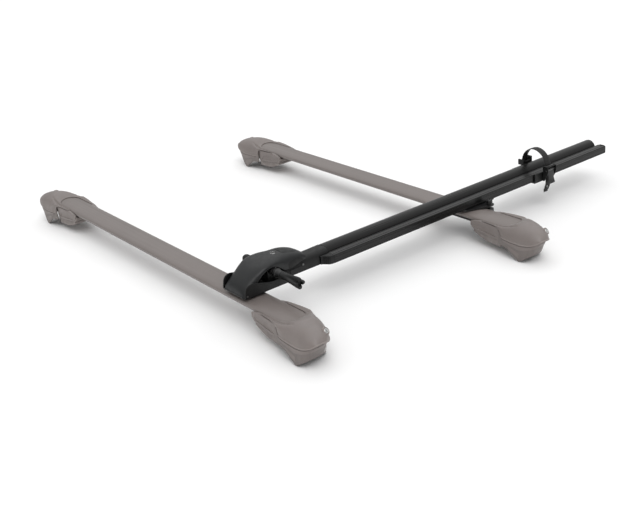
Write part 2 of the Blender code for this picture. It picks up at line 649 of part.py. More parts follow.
def rear_clamp(mats):
    """Saddle on the rear bar, hung from the tray's slot, with a jaw drawn up by two bolts and a dial."""
    def at(dx, v, h):
        return carrier_point(REAR_X + dx, v, h)

    section = [(-0.0052, 0.0052), (0.0052, 0.0052), (0.0052, 0.0086), (0.0150, 0.0086), (0.0150, 0.0120),
              (-0.0150, 0.0120), (-0.0150, 0.0086), (-0.0052, 0.0086)]
    outline = [(CARRIER_Y + a, BAR_TOP + b) for a, b in section]
    slider = prism("rear_slider", outline, "X", REAR_X - 0.020, REAR_X + 0.100, mats["steel"])
    drill(slider, carrier_point(DIAL_X, 0, 0.010), Z_AXIS, 0.0044, 0.020, mats["steel"], 12)

    plan = [(-0.030, 0.050), (0.020, 0.053), (0.058, 0.053), (0.058, -0.060), (0.055, -0.072),
            (0.046, -0.076),
            (0.034, -0.076), (0.020, -0.070), (-0.030, -0.050)]
    outline = [(REAR_X + a, CARRIER_Y + b) for a, b in plan]
    saddle = prism("rear_saddle", outline, "Z", BAR_TOP + 0.0012, BAR_TOP + 0.0048, mats["satin_black"])
    block("rear_saddle_pad", at(-0.024, -0.045, GAP), at(0.020, 0.045, 0.0009), mats["rubber"])

    for name, bolt_v in (("rear_bolt_right", BOLT_RIGHT_V), ("rear_bolt_left", BOLT_LEFT_V)):
        profile = [(0.0040, -0.0300), (0.0040, 0.0050), (0.0078, 0.0050), (0.0078, 0.0150),
                   (0.0064, 0.0185),
                   (0.0030, 0.0198)]
        centre = at(BOLT_X, bolt_v, 0)
        turned(name, profile, centre, Z_AXIS, mats["satin_black"], 16)
        drill(saddle, at(BOLT_X, bolt_v, 0.003), Z_AXIS, 0.0043, 0.010, mats["satin_black"], 16)

    jaw_profile = [(0.0355, -0.0065), (0.0535, -0.0065), (0.0535, -0.0270), (-0.0200, -0.0270),
                   (-0.0260, -0.0240),
                   (-0.0260, -0.0206), (0.0300, -0.0206), (0.0355, -0.0180)]
    outline = [(REAR_X + a, BAR_TOP + b) for a, b in jaw_profile]
    jaw_low, jaw_high = CARRIER_Y + JAW_RIGHT, CARRIER_Y + JAW_LEFT
    jaw = prism("rear_jaw", outline, "Y", jaw_low, jaw_high, mats["satin_black"], at(BOLT_X, 0, -0.020))
    for bolt_v in (BOLT_RIGHT_V, BOLT_LEFT_V):
        drill(jaw, at(BOLT_X, bolt_v, -0.018), Z_AXIS, 0.0043, 0.040, mats["satin_black"], 16)

    dial_at = carrier_point(DIAL_X, 0, 0)
    dial = lobed("rear_dial", 8, 0.0170, 0.0310, dial_at, Z_AXIS, -0.0110, -0.0010, mats["moulded"], 5)
    stud = turned("rear_dial_stud", [(0.0040, -0.0050), (0.0040, 0.0125)], dial_at, Z_AXIS, mats["steel"],
                  12)
    boolean(dial, stud, "UNION")


# Wheel strap

def wheel_strap(mats):
    """U-shaped cradle under the tray, a ladder strap over it and a ratchet buckle on its right side."""
    def at(dx, v, h):
        return carrier_point(STRAP_X + dx, v, h)

    outline = [(-0.0520, 0.0028), (-0.0500, 0.0008), (0.0335, 0.0008), (0.0355, 0.0028), (0.0355, 0.0290),
               (0.0316, 0.0290), (0.0316, 0.0056), (-0.0476, 0.0056), (-0.0476, 0.0290), (-0.0520, 0.0290)]
    outline = [(CARRIER_Y + a, BAR_TOP + b) for a, b in outline]
    cradle = prism("strap_cradle", outline, "X", STRAP_X - 0.048, STRAP_X + 0.016, mats["moulded"])
    drill(cradle, at(-0.036, 0, 0.003), Z_AXIS, 0.0033, 0.012, mats["moulded"], 12)

    anchor = [(-0.0090, 0.0296), (0.0290, 0.0296), (0.0290, 0.0500), (0.0245, 0.0500), (0.0200, 0.0400),
              (0.0000, 0.0400), (-0.0045, 0.0460), (-0.0090, 0.0460)]
    outline = [(STRAP_X + a, BAR_TOP + b) for a, b in anchor]
    block_anchor = prism("strap_anchor", outline, "Y", CARRIER_Y + 0.0250, CARRIER_Y + 0.0460,
                         mats["moulded"])
    carve(block_anchor, at(-0.0022, 0.0335, 0.0320), at(0.0222, 0.0425, 0.0520), mats["moulded"])

    strap_band(at, mats)

    side_x, cheek = 0.0195, 0.0030
    frame = [(-side_x, -0.0524), (-side_x, -0.0720), (-side_x + cheek, -0.0720), (-side_x + cheek, -0.0552),
             (side_x - cheek, -0.0552), (side_x - cheek, -0.0720), (side_x, -0.0720), (side_x, -0.0524)]
    outline = [(STRAP_X + a, CARRIER_Y + b) for a, b in frame]
    prism("buckle_frame", outline, "Z", BAR_TOP + 0.0020, BAR_TOP + 0.0490, mats["moulded"])

    lever_axis = at(0, -0.0672, 0.0345)
    lever = [(-0.0645, 0.0385), (-0.0630, 0.0345), (-0.0640, 0.0300), (-0.0665, 0.0080), (-0.0700, -0.0060),
             (-0.0725, -0.0050), (-0.0718, 0.0120), (-0.0715, 0.0345), (-0.0690, 0.0390)]
    outline = [(CARRIER_Y + a, BAR_TOP + b) for a, b in lever]
    prism("ratchet_lever", outline, "X", STRAP_X - 0.0160, STRAP_X + 0.0160, mats["satin_black"],
          lever_axis)
    tab = [(-0.0645, 0.0425), (-0.0690, 0.0425), (-0.0730, 0.0480), (-0.0715, 0.0492), (-0.0680, 0.0462),
           (-0.0645, 0.0462)]
    outline = [(CARRIER_Y + a, BAR_TOP + b) for a, b in tab]
    prism("release_tab", outline, "X", STRAP_X - 0.0155, STRAP_X + 0.0155, mats["moulded"],
          at(0, -0.0640, 0.0440))

    knob_at = at(-0.036, 0, 0)
    knob = [(0.0094, 0.0004), (0.0102, -0.0010), (0.0102, -0.0070), (0.0085, -0.0105), (0.0045, -0.0125),
            (0.0010, -0.0130)]
    turned("cradle_knob", knob, knob_at, Z_AXIS, mats["moulded"], 20)
    turned("cradle_bolt", [(0.0030, 0.0008), (0.0030, 0.0088), (0.0080, 0.0088), (0.0080, 0.0118)], knob_at,
           Z_AXIS,
           mats["steel"], 12)


def strap_band(at, mats):
    """Flat strap from its anchor, over the wheel's place, through the buckle and down to its free end."""
    path = [(0.0378, 0.0330)]
    path += arc((-0.0110, 0.0365), 0.0490, 10, 170, 12)
    path += [(-0.0600, 0.0400), (-0.0585, 0.0330), (-0.0585, 0.0040), (-0.0590, -0.0060)]
    rings = []
    thickness, half_width = 0.0026, 0.0110
    tail = [(-0.0602, -0.0160, -0.006), (-0.0618, -0.0280, -0.015)]
    route = [(v, h, 0.010 * (v + 0.060) / 0.098) for v, h in path] + tail
    for index, (v, h, dx) in enumerate(route):
        ahead, behind = route[min(index + 1, len(route) - 1)], route[max(index - 1, 0)]
        run = Vector((ahead[0] - behind[0], ahead[1] - behind[1])).normalized()
        normal = Vector((-run.y, run.x)) * (thickness / 2)
        ring = []
        for face, edge in ((1, 1), (1, -1), (-1, -1), (-1, 1)):
            ring.append(at(dx + edge * half_width, v + face * normal.x, h + face * normal.y))
        rings.append(ring)
    loft("ladder_strap", rings, mats["strap"])


def main():
    for old in list(bpy.data.objects):
        bpy.data.objects.remove(old, do_unlink=True)
    mats = {
        "bar_plastic": material("foot_plastic", (0.26, 0.225, 0.215), 0.5),
        "bar_metal": material("bar_metal", (0.22, 0.195, 0.18), 0.45),
        "pad_rubber": material("roof_pad_rubber", (0.35, 0.31, 0.29), 0.8),
        "lock_metal": material("lock_metal", (0.7, 0.7, 0.7), 0.3, 1.0),
        "anodised": material("black_anodised", (0.035, 0.036, 0.037), 0.4, 0.6),
        "moulded": material("black_moulded", (0.03, 0.031, 0.032), 0.5),
        "satin_black": material("satin_black", (0.025, 0.025, 0.026), 0.35),
        "rubber": material("black_rubber", (0.02, 0.02, 0.02), 0.85),
        "strap": material("strap_rubber", (0.03, 0.029, 0.029), 0.6),
        "steel": material("dark_steel", (0.25, 0.25, 0.25), 0.35, 1.0),
        "chrome": material("bright_steel", (0.75, 0.75, 0.76), 0.2, 1.0),
    }
    front_ends = (RIGHT_TIP_Y, RIGHT_TIP_Y + FRONT_SPAN)
    rear_ends = (RIGHT_TIP_Y, RIGHT_TIP_Y + REAR_SPAN)
    for bar, bar_x, ends in (("front", FRONT_X, front_ends), ("rear", REAR_X, rear_ends)):
        crossbar(f"{bar}_crossbar", bar_x, *ends, mats["bar_metal"])
        foot(f"{bar}_right", bar_x, ends[0], -1, mats)
        foot(f"{bar}_left", bar_x, ends[1], 1, mats)
    tray(mats)
    head_base(mats)
    head_lid(mats)
    head_clamp(mats)
    skewer(mats)
    rear_clamp(mats)
    wheel_strap(mats)


main()
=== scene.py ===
"""Looks of a fork-mount bicycle carrier on two roof crossbars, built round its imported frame.

The pieces are in the frame's own coordinates: X from the fork head to the tail, Y across the car, Z up.
"""

import math

import bmesh
import bpy
from mathutils import Matrix, Quaternion, Vector


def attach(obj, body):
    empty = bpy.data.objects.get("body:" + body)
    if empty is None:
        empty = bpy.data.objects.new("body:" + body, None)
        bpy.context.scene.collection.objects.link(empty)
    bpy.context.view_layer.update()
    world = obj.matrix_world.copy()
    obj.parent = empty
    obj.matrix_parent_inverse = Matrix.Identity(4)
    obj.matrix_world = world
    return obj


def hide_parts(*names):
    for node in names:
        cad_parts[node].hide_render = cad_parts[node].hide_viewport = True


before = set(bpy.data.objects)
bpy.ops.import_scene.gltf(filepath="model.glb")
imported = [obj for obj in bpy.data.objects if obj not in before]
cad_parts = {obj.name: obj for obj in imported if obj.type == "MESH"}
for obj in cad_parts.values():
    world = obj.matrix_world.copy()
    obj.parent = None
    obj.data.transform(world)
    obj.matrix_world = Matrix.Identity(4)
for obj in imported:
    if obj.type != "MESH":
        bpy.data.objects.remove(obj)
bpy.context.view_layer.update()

# Driving dimensions of the frame, in metres
BAR_TOP = 0.0785
BAR_WIDTH = 0.07
BAR_DEPTH = 0.02
BAR_WALL = 0.0022
FRONT_X = -0.625
REAR_X = FRONT_X + 0.72
RIGHT_TIP_Y = -0.71
FRONT_LEFT_TIP_Y = 0.71
REAR_LEFT_TIP_Y = 0.655
BAR_INSET = 0.102

CARRIER_Y = -0.39
HEAD_X = FRONT_X - 0.037
HEAD_HALF = 0.0475
TRAY_START = FRONT_X + 0.233
TRAY_END = 0.6655
TRAY_HALF = 0.047
TRAY_FAR = 0.031
TRAY_BOTTOM = 0.006
TRAY_WALL = 0.0022
LEDGE_TOP = 0.0286
GROOVE_FLOOR = LEDGE_TOP - 0.0075
GROOVE_SIDE = -0.0215
SPINE_V = 0.004
SPINE_RADIUS = 0.0225
SPINE_HEIGHT = 0.019
SLOT_HALF = 0.006
NOTCH = 0.011

SHELL = 0.0025
NOSE_SIDE = 0.03
MOUTH_HALF = 0.033
MOUTH_START = 0.112
AXLE_U = 0.093
AXLE_H = 0.045
AXLE_HALF = 0.05
LOCK_U = 0.122
FORK_GAP = 0.003
STRAP_X = REAR_X + 0.296
DIAL_X = REAR_X + 0.086

FOOT_MIDDLE = 0.09
LOCK_PLACE = (0.025, 0.0035, -0.001)
LOCK_SLOT = ((-0.0034, -0.0007), (0.0034, -0.0007), (0.0034, 0.0007), (-0.0034, 0.0007))
COVER_WALL = 0.0013
HEM_GAP = 0.001

FLOOR_REACH = 40.0
LENS = 55.79
CAMERA_PLACE = Vector((-1.734, -2.21, 1.0785))
CAMERA_AIM = Vector((0.5415, 0.73938, -0.40012))
CAMERA_ROLL = math.radians(5.43)

SIDES = (("right", -1), ("left", 1))
X_AXIS = Vector((1, 0, 0))
Y_AXIS = Vector((0, 1, 0))
Z_AXIS = Vector((0, 0, 1))


# Materials

class Shading:
    """A node material with helpers for the layers that the finishes share."""

    def __init__(self, name):
        self.material = bpy.data.materials.new(name)
        self.material.use_nodes = True
        self.tree = self.material.node_tree
        self.shader = self.tree.nodes["Principled BSDF"]
        self.place = self.tree.nodes.new("ShaderNodeTexCoord").outputs["Object"]

    def link(self, a, b):
        self.tree.links.new(a, b)

    def give(self, name, value):
        """Sets an input of the shader to a number or to a node's output."""
        socket = self.shader.inputs[name]
        if isinstance(value, bpy.types.NodeSocket):
            self.link(value, socket)
        else:
            socket.default_value = value

    def noise(self, scale, detail=3.0, stretch=(1.0, 1.0, 1.0), roughness=0.5):
        mapping = self.tree.nodes.new("ShaderNodeMapping")
        mapping.inputs["Scale"].default_value = stretch
        self.link(self.place, mapping.inputs["Vector"])
        noise = self.tree.nodes.new("ShaderNodeTexNoise")
        noise.inputs["Scale"].default_value = scale
        noise.inputs["Detail"].default_value = detail
        noise.inputs["Roughness"].default_value = roughness
        self.link(mapping.outputs["Vector"], noise.inputs["Vector"])
        return noise.outputs["Fac"]

    def ramp(self, value, low, high, first, second):
        ramp = self.tree.nodes.new("ShaderNodeMapRange")
        for socket, number in (("From Min", low), ("From Max", high), ("To Min", first), ("To Max", second)):
            ramp.inputs[socket].default_value = number
        self.link(value, ramp.inputs["Value"])
        return ramp.outputs["Result"]

    def mix(self, factor, first, second):
        mix = self.tree.nodes.new("ShaderNodeMix")
        mix.data_type = "RGBA"
        self.link(factor, mix.inputs["Factor"])
        for socket, value in ((mix.inputs["A"], first), (mix.inputs["B"], second)):
            if isinstance(value, bpy.types.NodeSocket):
                self.link(value, socket)
            else:
                socket.default_value = (*value, 1.0)
        return mix.outputs["Result"]

    def facing_up(self, low, high):
        """1 on faces that look up, 0 on those that don't."""
        geometry = self.tree.nodes.new("ShaderNodeNewGeometry")
        split = self.tree.nodes.new("ShaderNodeSeparateXYZ")
        self.link(geometry.outputs["Normal"], split.inputs["Vector"])
        return self.ramp(split.outputs["Z"], low, high, 0.0, 1.0)

    def edges(self, low, high):
        """Rises on outer edges, where handling wears a finish thin."""
        geometry = self.tree.nodes.new("ShaderNodeNewGeometry")
        return self.ramp(geometry.outputs["Pointiness"], low, high, 0.0, 0.35)

    def bump(self, layers):
        """Stacked bumps from (height, strength, depth in metres)."""
        normal = None
        for height, strength, depth in layers:
            bump = self.tree.nodes.new("ShaderNodeBump")
            bump.inputs["Strength"].default_value = strength
            bump.inputs["Distance"].default_value = depth
            self.link(height, bump.inputs["Height"])
            if normal is not None:
                self.link(normal, bump.inputs["Normal"])
            normal = bump.outputs["Normal"]
        self.link(normal, self.shader.inputs["Normal"])


def moulded(name, base, worn, roughness, grain=2600.0, depth=0.00012, dust_and_sheen=0.25, dust_and_sheen_colour=None,
            shine=0.5):
    """Moulded plastic: spark-eroded grain, slow colour drift, dust plus a painted sheen of overhead light on
    top faces, and rubbed edges.
    """
    s = Shading(name)
    drift = s.noise(14.0, 4.0)
    colour = s.mix(s.ramp(drift, 0.35, 0.7, 0.0, 1.0), base, tuple(c * 1.16 for c in base))
    specks = s.noise(420.0, 2.0)
    colour = s.mix(s.ramp(specks, 0.6, 0.78, 0.0, 0.35), colour, worn)
    # Top faces lean towards a paler, bluish colour: settled dust plus a painted highlight from the light
    # overhead.
    top = s.facing_up(0.2, 1.0)
    dust_and_sheen_mask = s.tree.nodes.new("ShaderNodeMath")
    dust_and_sheen_mask.operation = "MULTIPLY"
    s.link(top, dust_and_sheen_mask.inputs[0])
    s.link(s.ramp(s.noise(38.0, 5.0), 0.3, 0.75, 0.1, dust_and_sheen), dust_and_sheen_mask.inputs[1])
    colour = s.mix(dust_and_sheen_mask.outputs[0], colour, dust_and_sheen_colour or tuple(min(1.0, c * 1.7) for c in base))
    colour = s.mix(s.edges(0.54, 0.62), colour, worn)
    s.give("Base Color", colour)
    s.give("Roughness", s.ramp(s.noise(95.0, 4.0), 0.3, 0.7, roughness - 0.06, roughness + 0.08))
    s.bump([(s.noise(grain, 2.0), 0.45, depth), (s.noise(60.0, 2.0), 0.1, 0.0006)])
    s.give("Specular IOR Level", shine)
    return s.material


def extruded(name, base, worn, roughness, along, coat=0.0, shine=0.5):
    """Coated extrusion: die lines along its length, faint streaks and scuffs."""
    s = Shading(name)
    stretch = tuple(0.012 if axis == along else 1.0 for axis in "XYZ")
    lines = s.noise(900.0, 3.0, stretch)
    streaks = s.noise(120.0, 4.0, stretch)
    drift = s.noise(9.0, 4.0)
    colour = s.mix(s.ramp(drift, 0.35, 0.7, 0.0, 1.0), base, tuple(c * 1.12 for c in base))
    colour = s.mix(s.ramp(streaks, 0.52, 0.8, 0.0, 0.3), colour, worn)
    scuffs = s.noise(260.0, 3.0, (1.0, 1.0, 0.4))
    colour = s.mix(s.ramp(scuffs, 0.7, 0.8, 0.0, 0.35), colour, worn)
    colour = s.mix(s.edges(0.54, 0.62), colour, worn)
    s.give("Base Color", colour)
    s.give("Roughness", s.ramp(streaks, 0.3, 0.7, roughness - 0.05, roughness + 0.08))
    s.bump([(lines, 0.35, 0.00008), (s.noise(2800.0, 2.0), 0.15, 0.00005)])
    s.give("Coat Weight", coat)
    s.give("Coat Roughness", 0.2)
    s.give("Specular IOR Level", shine)
    return s.material


def rubber(name, base, dusted, roughness):
    s = Shading(name)
    colour = s.mix(s.ramp(s.noise(45.0, 5.0), 0.35, 0.7, 0.0, 0.6), base, dusted)
    colour = s.mix(s.edges(0.54, 0.62), colour, dusted)
    s.give("Base Color", colour)
    s.give("Roughness", s.ramp(s.noise(150.0, 3.0), 0.3, 0.7, roughness - 0.08, roughness + 0.06))
    s.bump([(s.noise(1800.0, 3.0), 0.5, 0.00012), (s.noise(300.0, 2.0), 0.2, 0.0002)])
    s.give("Specular IOR Level", 0.35)
    return s.material


def brushed(name, base, dull, roughness):
    """Bare metal: turned or brushed lines, with dulled patches."""
    s = Shading(name)
    lines = s.noise(1600.0, 3.0, (1.0, 0.05, 1.0))
    patches = s.noise(70.0, 4.0)
    s.give("Base Color", s.mix(s.ramp(patches, 0.4, 0.72, 0.0, 0.8), base, dull))
    s.give("Roughness", s.ramp(lines, 0.3, 0.7, roughness - 0.06, roughness + 0.14))
    s.bump([(lines, 0.25, 0.00006)])
    s.give("Metallic", 1.0)
    return s.material


def make_materials():
    taupe, taupe_worn = (0.175, 0.15, 0.14), (0.235, 0.207, 0.195)
    shaded_taupe, lit_taupe = (0.15, 0.13, 0.122), (0.215, 0.187, 0.175)
    # Pale bluish colours that moulded parts take on their top faces: dust plus a painted sheen of overhead
    # light.
    taupe_dust_sheen, hood_dust_sheen = (0.215, 0.2, 0.198), (0.014, 0.0155, 0.017)
    black, black_worn, black_dust_sheen = (0.0045, 0.0048, 0.0048), (0.022, 0.022, 0.021), (0.016, 0.017, 0.018)
    hood_black, bar_taupe = (0.0055, 0.0062, 0.0067), (0.122, 0.104, 0.097)
    anodised, anodised_worn = (0.003, 0.003, 0.003), (0.016, 0.016, 0.0155)
    satin, satin_worn = (0.0065, 0.0065, 0.0068), (0.035, 0.035, 0.035)
    soft_black, soft_worn = (0.0075, 0.0075, 0.0075), (0.022, 0.021, 0.02)
    finishes = {
        "foot_plastic": (moulded, taupe, taupe_worn, 0.44, 2200.0, 0.00008, 0.45, taupe_dust_sheen),
        # The foot plastic painted darker as shade, for the claw's wall under the cover's hem.
        "foot_plastic_shaded": (moulded, shaded_taupe, taupe_worn, 0.5, 2200.0, 0.0001, 0.2, taupe_dust_sheen),
        # The foot plastic painted lighter as a highlight, for the raised rim strip and lock boss.
        "foot_plastic_lit": (moulded, lit_taupe, taupe_worn, 0.45, 2200.0, 0.00008),
        "plate": (moulded, (0.42, 0.4, 0.39), taupe_worn, 0.4, 2600.0, 0.00005, 0.1),
        "bar_metal": (extruded, bar_taupe, taupe_worn, 0.42, "Y", 0.1),
        "roof_pad_rubber": (rubber, (0.205, 0.18, 0.17), (0.3, 0.27, 0.255), 0.75),
        "lock_metal": (brushed, (0.78, 0.78, 0.77), (0.55, 0.55, 0.55), 0.28),
        "black_anodised": (extruded, anodised, anodised_worn, 0.3, "X", 0.2, 0.2),
        "black_moulded": (moulded, black, black_worn, 0.46, 2400.0, 0.00011, 0.35, black_dust_sheen, 0.32),
        "black_hood": (moulded, hood_black, black_worn, 0.38, 3000.0, 0.00006, 0.5, hood_dust_sheen, 0.38),
        "satin_black": (extruded, satin, satin_worn, 0.36, "Y"),
        "black_rubber": (rubber, soft_black, soft_worn, 0.75),
        "strap_rubber": (rubber, soft_black, soft_worn, 0.5),
        "dark_steel": (brushed, (0.16, 0.16, 0.16), (0.08, 0.08, 0.08), 0.36),
        "bright_steel": (brushed, (0.8, 0.8, 0.8), (0.6, 0.6, 0.6), 0.2),
        # Near-black for the key slot's floor: painted shade in the keyway.
        "keyway_shade": (rubber, (0.012, 0.012, 0.012), (0.03, 0.03, 0.03), 0.6),
    }
    return {name: finish(name, *values) for name, (finish, *values) in finishes.items()}


mats = make_materials()
SLOT_OF = {"plate": "foot_plastic", "foot_plastic_shaded": "foot_plastic",
           "foot_plastic_lit": "foot_plastic", "black_hood": "black_moulded", "keyway_shade": "lock_metal"}


# Points and outlines

def head_point(u, v, h):
    return Vector((HEAD_X + u, CARRIER_Y + v, BAR_TOP + h))


def carrier_point(x, v, h):
    return Vector((x, CARRIER_Y + v, BAR_TOP + h))


def spread(low, high, count):
    return [low + (high - low) * k / (count - 1) for k in range(count)]


def smooth(points, x):
    """Height at x of a smooth curve through a few (x, value) points."""
    if x <= points[0][0]:
        return points[0][1]
    if x >= points[-1][0]:
        return points[-1][1]
    i = max(k for k in range(len(points) - 1) if points[k][0] <= x)
    (x0, y0), (x1, y1) = points[i], points[i + 1]
    before, after = points[max(i - 1, 0)], points[min(i + 2, len(points) - 1)]
    slope0 = (y1 - before[1]) / (x1 - before[0])
    slope1 = (after[1] - y0) / (after[0] - x0)
    t, width = (x - x0) / (x1 - x0), x1 - x0
    return ((2 * t**3 - 3 * t**2 + 1) * y0 + (t**3 - 2 * t**2 + t) * width * slope0
            + (3 * t**2 - 2 * t**3) * y1 + (t**3 - t**2) * width * slope1)


def straight(points, x):
    for (x0, y0), (x1, y1) in zip(points, points[1:]):
        if x <= x1:
            return y0 + (y1 - y0) * max(0.0, x - x0) / (x1 - x0)
    return points[-1][1]


def band(middle, side, first, second):
    """Low and high ends of the stretch between two distances to one side of a middle."""
    return sorted((middle + side * first, middle + side * second))


def arc(centre, radius, start_deg, end_deg, steps):
    angles = [math.radians(a) for a in spread(start_deg, end_deg, steps + 1)]
    return [(centre[0] + radius * math.cos(a), centre[1] + radius * math.sin(a)) for a in angles]


def arch(half_width, low, high, power, steps):
    """Points over a rounded arch from one foot to the other."""
    points = []
    for k in range(steps + 1):
        angle = math.pi * k / steps
        c, s = math.cos(angle), max(math.sin(angle), 0.0)
        points.append((math.copysign(abs(c) ** (2 / power), c) * half_width, low
                       + (high - low) * s ** (2 / power)))
    return points


# Meshes

def add_object(name, data):
    made = bpy.data.objects.new(name, data)
    bpy.context.scene.collection.objects.link(made)
    return made


def build(name, points, faces, mat, body=None, replaced=(), bevel=0.0, crease=35, segments=2):
    """One piece, shaded smooth and riding on its body."""
    mesh = bpy.data.meshes.new(name)
    mesh.from_pydata([tuple(p) for p in points], [], faces)
    work = bmesh.new()
    work.from_mesh(mesh)
    bmesh.ops.recalc_face_normals(work, faces=work.faces)
    work.to_mesh(mesh)
    work.free()
    mesh.shade_smooth()
    mesh.set_sharp_from_angle(angle=math.radians(crease))
    mesh.materials.append(mats[mat])
    made = add_object(name, mesh)
    if bevel:
        soften(made, bevel, crease, segments)
    if body:
        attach(made, body)
        SLOT_OF.get(mat, mat)
        if replaced:
            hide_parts(*replaced)
    return made


def soften(made, width, crease=35, segments=2):
    """Rounds the sharp edges the way a mould or a deburring does."""
    bevel = made.modifiers.new("edges", "BEVEL")
    bevel.width = width
    bevel.segments = segments
    bevel.limit_method = "ANGLE"
    bevel.angle_limit = math.radians(crease)
    bevel.harden_normals = True
    bevel.use_clamp_overlap = True


def loft(name, rings, mat, body=None, replaced=(), closed=False, **more):
    count = len(rings[0])
    points = [p for ring in rings for p in ring]
    faces = []
    for r in range(len(rings) if closed else len(rings) - 1):
        first, second = r * count, (r + 1) % len(rings) * count
        for k in range(count):
            n = (k + 1) % count
            faces.append((first + k, first + n, second + n, second + k))
    if not closed:
        faces.append(tuple(range(count)))
        faces.append(tuple(range((len(rings) - 1) * count, len(rings) * count)))
    return build(name, points, faces, mat, body, replaced, **more)


def placed(axis, a, b, along):
    if axis == "X":
        return Vector((along, a, b))
    if axis == "Y":
        return Vector((a, along, b))
    return Vector((a, b, along))


def round_ring(centre, axis, along, steps, radius_at):
    """Points round an axis, at the radius that a function gives for each angle."""
    angles = [math.tau * k / steps for k in range(steps)]
    radii = [radius_at(a) for a in angles]
    return [centre + placed(axis, math.cos(a) * r, math.sin(a) * r, along) for a, r in zip(angles, radii)]


def resharpen(made, crease):
    """Marks a piece's sharp edges again after a cut."""
    made.data.set_sharp_from_angle(angle=math.radians(crease))


def prism(name, outline, axis, low, high, mat, body=None, replaced=(), **more):
    rings = [[placed(axis, a, b, at) for a, b in outline] for at in (low, high)]
    return loft(name, rings, mat, body, replaced, **more)


def block(name, low, high, mat, body=None, replaced=(), **more):
    outline = [(low[0], low[1]), (high[0], low[1]), (high[0], high[1]), (low[0], high[1])]
    return prism(name, outline, "Z", low[2], high[2], mat, body, replaced, **more)


def turned(name, profile, centre, direction, mat, body=None, replaced=(), segments=48, closed=False, **more):
    direction = Vector(direction).normalized()
    side = direction.orthogonal().normalized()
    other = direction.cross(side)
    rings = []
    for radius, along in profile:
        middle = Vector(centre) + direction * along
        angles = [math.tau * k / segments for k in range(segments)]
        rings.append([middle + (side * math.cos(a) + other * math.sin(a)) * radius for a in angles])
    return loft(name, rings, mat, body, replaced, closed, **more)


def shell(name, rows, mat, body, thickness, replaced=(), **more):
    """A moulded wall thickened inwards from a grid of surface points."""
    count = len(rows[0])
    points = [p for row in rows for p in row]
    faces = []
    for r in range(len(rows) - 1):
        for k in range(count - 1):
            a, b = r * count + k, (r + 1) * count + k
            faces.append((a, a + 1, b + 1, b))
    made = build(name, points, faces, mat, body, replaced, **more)
    wall = made.modifiers.new("wall", "SOLIDIFY")
    wall.thickness = thickness
    wall.offset = -1.0
    wall.use_even_offset = True
    return made


def cut(made, tool):
    """Takes the tool's shape out of a piece and removes the tool."""
    change = made.modifiers.new("cut", "BOOLEAN")
    change.operation = "DIFFERENCE"
    change.solver = "EXACT"
    change.object = tool
    bake(made)
    bpy.data.objects.remove(tool, do_unlink=True)


def bake(made):
    """Applies a piece's modifiers to its mesh."""
    bpy.context.view_layer.update()
    evaluated = made.evaluated_get(bpy.context.evaluated_depsgraph_get())
    mesh = bpy.data.meshes.new_from_object(evaluated)
    made.modifiers.clear()
    made.data = mesh


def dress(mat, bevel, *nodes):
    """CAD nodes whose shape is right keep it, with softened edges and their finish."""
    for node in nodes:
        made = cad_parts[node]
        made.data.materials.clear()
        made.data.materials.append(mats[mat])
        weld = made.modifiers.new("weld", "WELD")
        weld.merge_threshold = 0.00002
        soften(made, bevel, 30)


# Crossbars

def bar_section(inset):
    """The aero section with three fine grooves along its rear shoulder."""
    half = BAR_WIDTH / 2 - inset
    top, bottom, middle = -inset, -BAR_DEPTH + inset, -0.0095
    outline = []
    count = 96
    for k in range(count):
        angle = math.tau * k / count
        c, s = math.cos(angle), math.sin(angle)
        across = math.copysign(abs(c) ** (2 / (2.4 if c < 0 else 2.0)), c) * half
        reach = (top - middle) if s > 0 else (middle - bottom)
        up = middle + math.copysign(abs(s) ** (2 / 2.6), s) * reach
        if s > 0 and inset == 0.0:
            for groove in (0.0135, 0.018, 0.0225):
                up -= 0.0005 * math.exp(-(((across - groove) / 0.0009) ** 2))
        outline.append((across, up))
    return outline


def crossbar(name, bar_x, low_tip, high_tip, body):
    outer = [(bar_x + a, BAR_TOP + b) for a, b in bar_section(0.0)]
    inner = [(bar_x + a, BAR_TOP + b) for a, b in bar_section(BAR_WALL)]
    low, high = low_tip + BAR_INSET, high_tip - BAR_INSET
    steps = ((outer, low), (outer, high), (inner, high), (inner, low))
    rings = [[placed("Y", a, b, at) for a, b in outline] for outline, at in steps]
    loft(name, rings, "bar_metal", body, [name.replace("_skin", "")], closed=True, crease=50)


# Roof feet: s is the distance inwards from the foot's outer tip

def cover_front(s):
    if s < 0.055:
        return NOSE_SIDE + 0.0255 * (1 - ((0.055 - max(s, 0.0)) / 0.055) ** 2.5) ** 0.4
    return smooth([(0.055, NOSE_SIDE + 0.0255), (0.11, 0.054), (0.15, 0.0475), (0.204, 0.041)], s)


def cover_rear(s):
    if s < 0.128:
        return 0.0775 * (1 - ((0.15 - max(s, 0.0)) / 0.15) ** 2) ** 0.5 - NOSE_SIDE
    return smooth([(0.128, 0.0467), (0.16, 0.045), (0.204, 0.041)], s)


COVER_CREST = [(0.0, -0.0115), (0.012, 0.0005), (0.03, 0.0088), (0.045, 0.0122), (0.07, 0.0158),
               (0.11, 0.016), (0.15, 0.009), (0.204, 0.0035)]
COVER_HEM = [(0.0, -0.012), (0.012, -0.02), (0.024, -0.0248), (0.035, -0.028), (0.06, -0.0315),
             (0.1, -0.031), (0.1335, -0.029), (0.1365, -0.008), (0.15, -0.0042), (0.204, -0.0035)]
COVER_SPRING = [(0.1, -0.03), (0.122, -0.016), (0.134, -0.004), (0.204, -0.0035)]
CLAW_HEM = [(0.01, -0.058), (0.028, -0.064), (0.045, -0.071), (0.066, -0.0785), (0.088, -0.064),
            (0.102, -0.0535), (0.125, -0.049), (0.1375, -0.048)]
BASE_ARM_HALF = [(0.139, 0.047), (0.19, 0.045), (0.246, 0.0405)]
BASE_UNDERSIDE = [(0.113, -0.0428), (0.125, -0.044), (0.146, -0.0435), (0.238, -0.036), (0.246, -0.028)]


